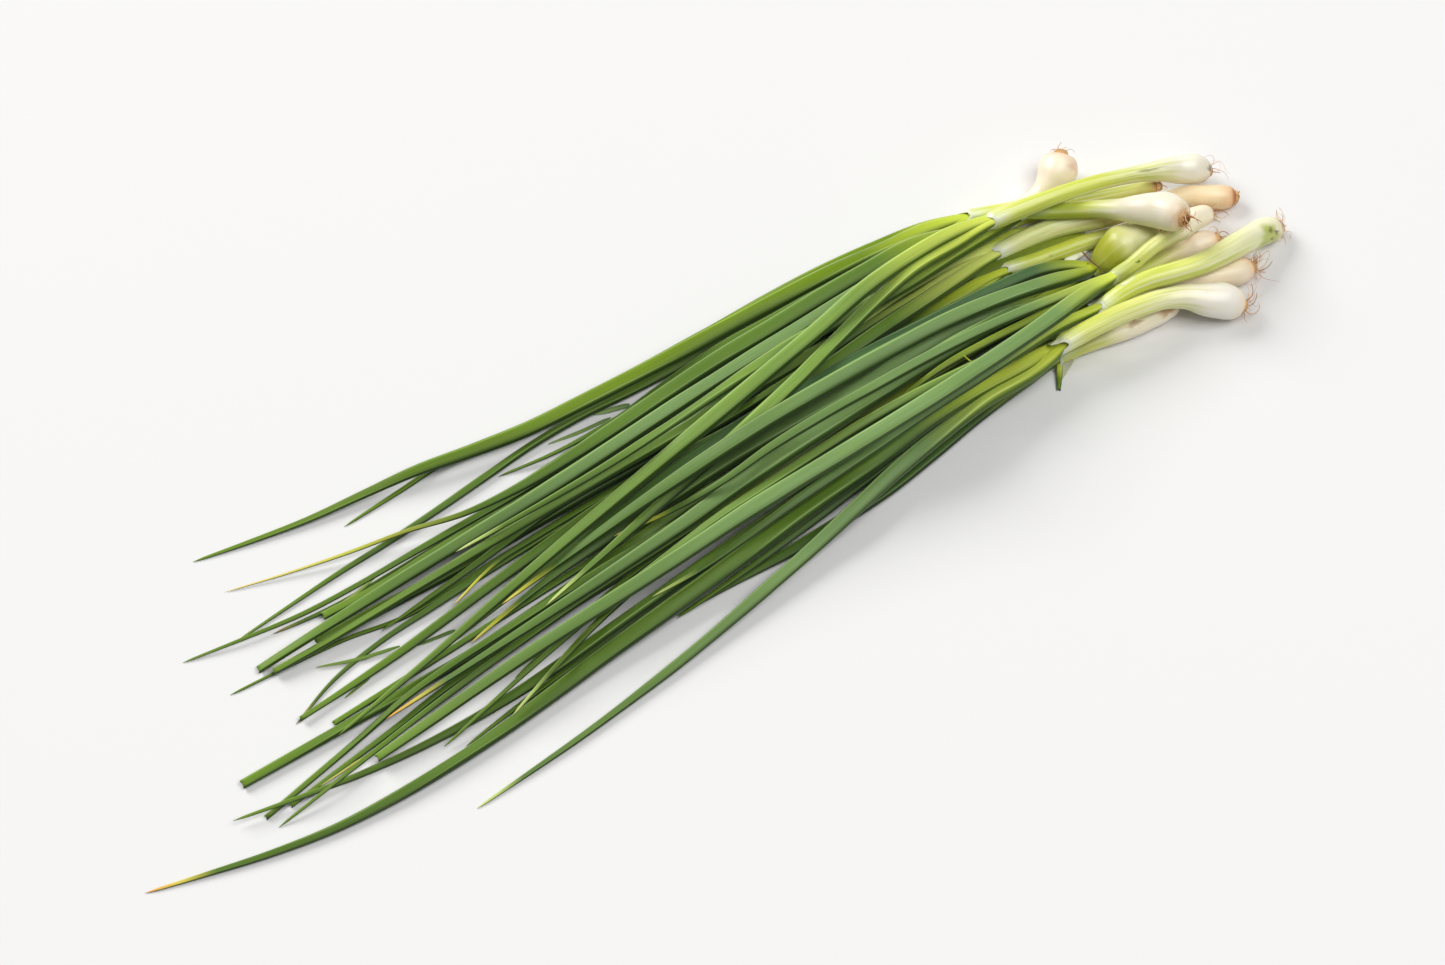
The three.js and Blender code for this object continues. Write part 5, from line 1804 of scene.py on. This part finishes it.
# ---------------------------------------------------------------- the studio
@dataclass
class Studio:
    """A pale floor, two wide soft lights, one at the back and one above, an even sky, and the camera."""

    eye: tuple[float, float, float] = (-0.39225, -0.58404, 1.2064)
    aim: tuple[float, float, float] = (0.00725, -0.01344, 0.0)
    lens: float = 85.0
    sensor: float = 36.0
    floor_reach: float = 6.0
    key_place: tuple[float, float, float] = (-1.65, 4.8, 3.6)
    key_power: float = 330.0
    key_size: float = 3.4
    top_place: tuple[float, float, float] = (1.3, -1.3, 4.2)
    top_power: float = 142.0
    top_size: float = 3.2
    sky: float = 0.17

    def build(self) -> None:
        """Adds floor, lights and camera."""
        self._floor()
        self._lights()
        self._camera()

    def _floor(self) -> None:
        """Adds the floor, a wide sheet a hair under the bunch."""
        mesh = bpy.data.meshes.new("floor")
        r = self.floor_reach
        mesh.from_pydata([(-r, -r, 0), (r, -r, 0), (r, r, 0), (-r, r, 0)], [], [(0, 1, 2, 3)])
        mesh.materials.append(Paper().material())
        floor = placed("floor", mesh)

    @staticmethod
    def _turned(thing: bpy.types.Object, place: Sequence[float], aim: Sequence[float]) -> None:
        """Puts a light or a camera at a place and turns its front to another."""
        thing.location = place
        thing.rotation_euler = (Vector(aim) - Vector(place)).to_track_quat("-Z", "Y").to_euler()

    def _lights(self) -> None:
        """Adds the two square soft lights, which face the bunch, and the sky."""
        for name, place, power, size, colour in (
            ("key", self.key_place, self.key_power, self.key_size, (1.0, 0.99, 0.97)),
            ("top", self.top_place, self.top_power, self.top_size, (1.0, 0.995, 0.985)),
        ):
            data = bpy.data.lights.new(name, "AREA")
            data.energy = power
            data.size = size
            data.color = colour
            self._turned(placed(name, data), place, (0, 0, 0))
        world = bpy.data.worlds.new("sky")
        world.use_nodes = True
        background = world.node_tree.nodes["Background"]
        background.inputs["Color"].default_value = (1.0, 0.995, 0.98, 1.0)
        background.inputs["Strength"].default_value = self.sky
        bpy.context.scene.world = world
        bpy.context.scene.view_settings.view_transform = "Standard"

    def _camera(self) -> None:
        """Adds the camera."""
        data = bpy.data.cameras.new("camera")
        data.lens = self.lens
        data.sensor_fit = "HORIZONTAL"
        data.sensor_width = self.sensor
        data.clip_end = 20.0
        camera = placed("camera", data)
        self._turned(camera, self.eye, self.aim)
        bpy.context.scene.camera = camera


# ---------------------------------------------------------------- the bunch
@dataclass
class Bunch:
    """The whole bunch, plant by plant."""

    nodes: dict[str, bpy.types.Object]

    def build(self) -> None:
        """Builds every plant with its finishes: first all strands are read, then each plant is drawn."""
        leaf_skin = LeafSkin().material()
        bulb_skin = BulbSkin().material()
        root_fibre = RootFibre().material()
        grown = [(plant, *self._strands(plant)) for plant in PLANTS]
        for plant, stem, leaves, roots in grown:
            LeafSet(plant, stem).skin(leaves).piece(leaf_skin, "leaf", [f"{plant.name}_leaves"])
            fine = [leaf.resampled(FINE_STEP) for leaf in leaves]
            BulbAndShaft(plant, stem, fine).skin().piece(bulb_skin, "bulb", [f"{plant.name}_bulb"])
            others = joined(s for p, own, near, _ in grown if p is not plant for s in (own, *near))
            RootTuft(plant, stem, roots, others).skin().piece(root_fibre, "root", [f"{plant.name}_roots"])
        under = joined(s for _, own, leaves, _ in grown for s in (own, *leaves))
        LooseScraps(under, np.array(Studio.eye)).skin().piece(leaf_skin, "leaf", [])

    def _strands(self, plant: Plant) -> tuple[Strand, list[Strand], list[Strand]]:
        """Reads a plant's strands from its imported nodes.

        Args:
            plant: The plant.

        Returns:
            Its stem from the root end on, its leaves and its roots.
        """
        parts = ("bulb", "leaves", "roots")
        bulb, leaves, roots = (Solid(self.nodes[f"{plant.name}_{part}"]) for part in parts)
        low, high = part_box(f"{plant.name}_roots")
        stem = bulb.bar(STEM_SIDES, np.array((low + high) / 2))
        found = leaves.branches(LEAF_SIDES, 1, CORNER_SHARE, stem)
        return stem, LeafSet(plant, stem).matched(found), roots.branches(ROOT_SIDES, 3, 1.0)


def main() -> None:
    """Builds the bunch and the studio."""
    logging.basicConfig(level=logging.INFO, format="%(name)s: %(message)s")
    Bunch(frame["nodes"]).build()
    Studio().build()


if __name__ == "__main__":
    main()
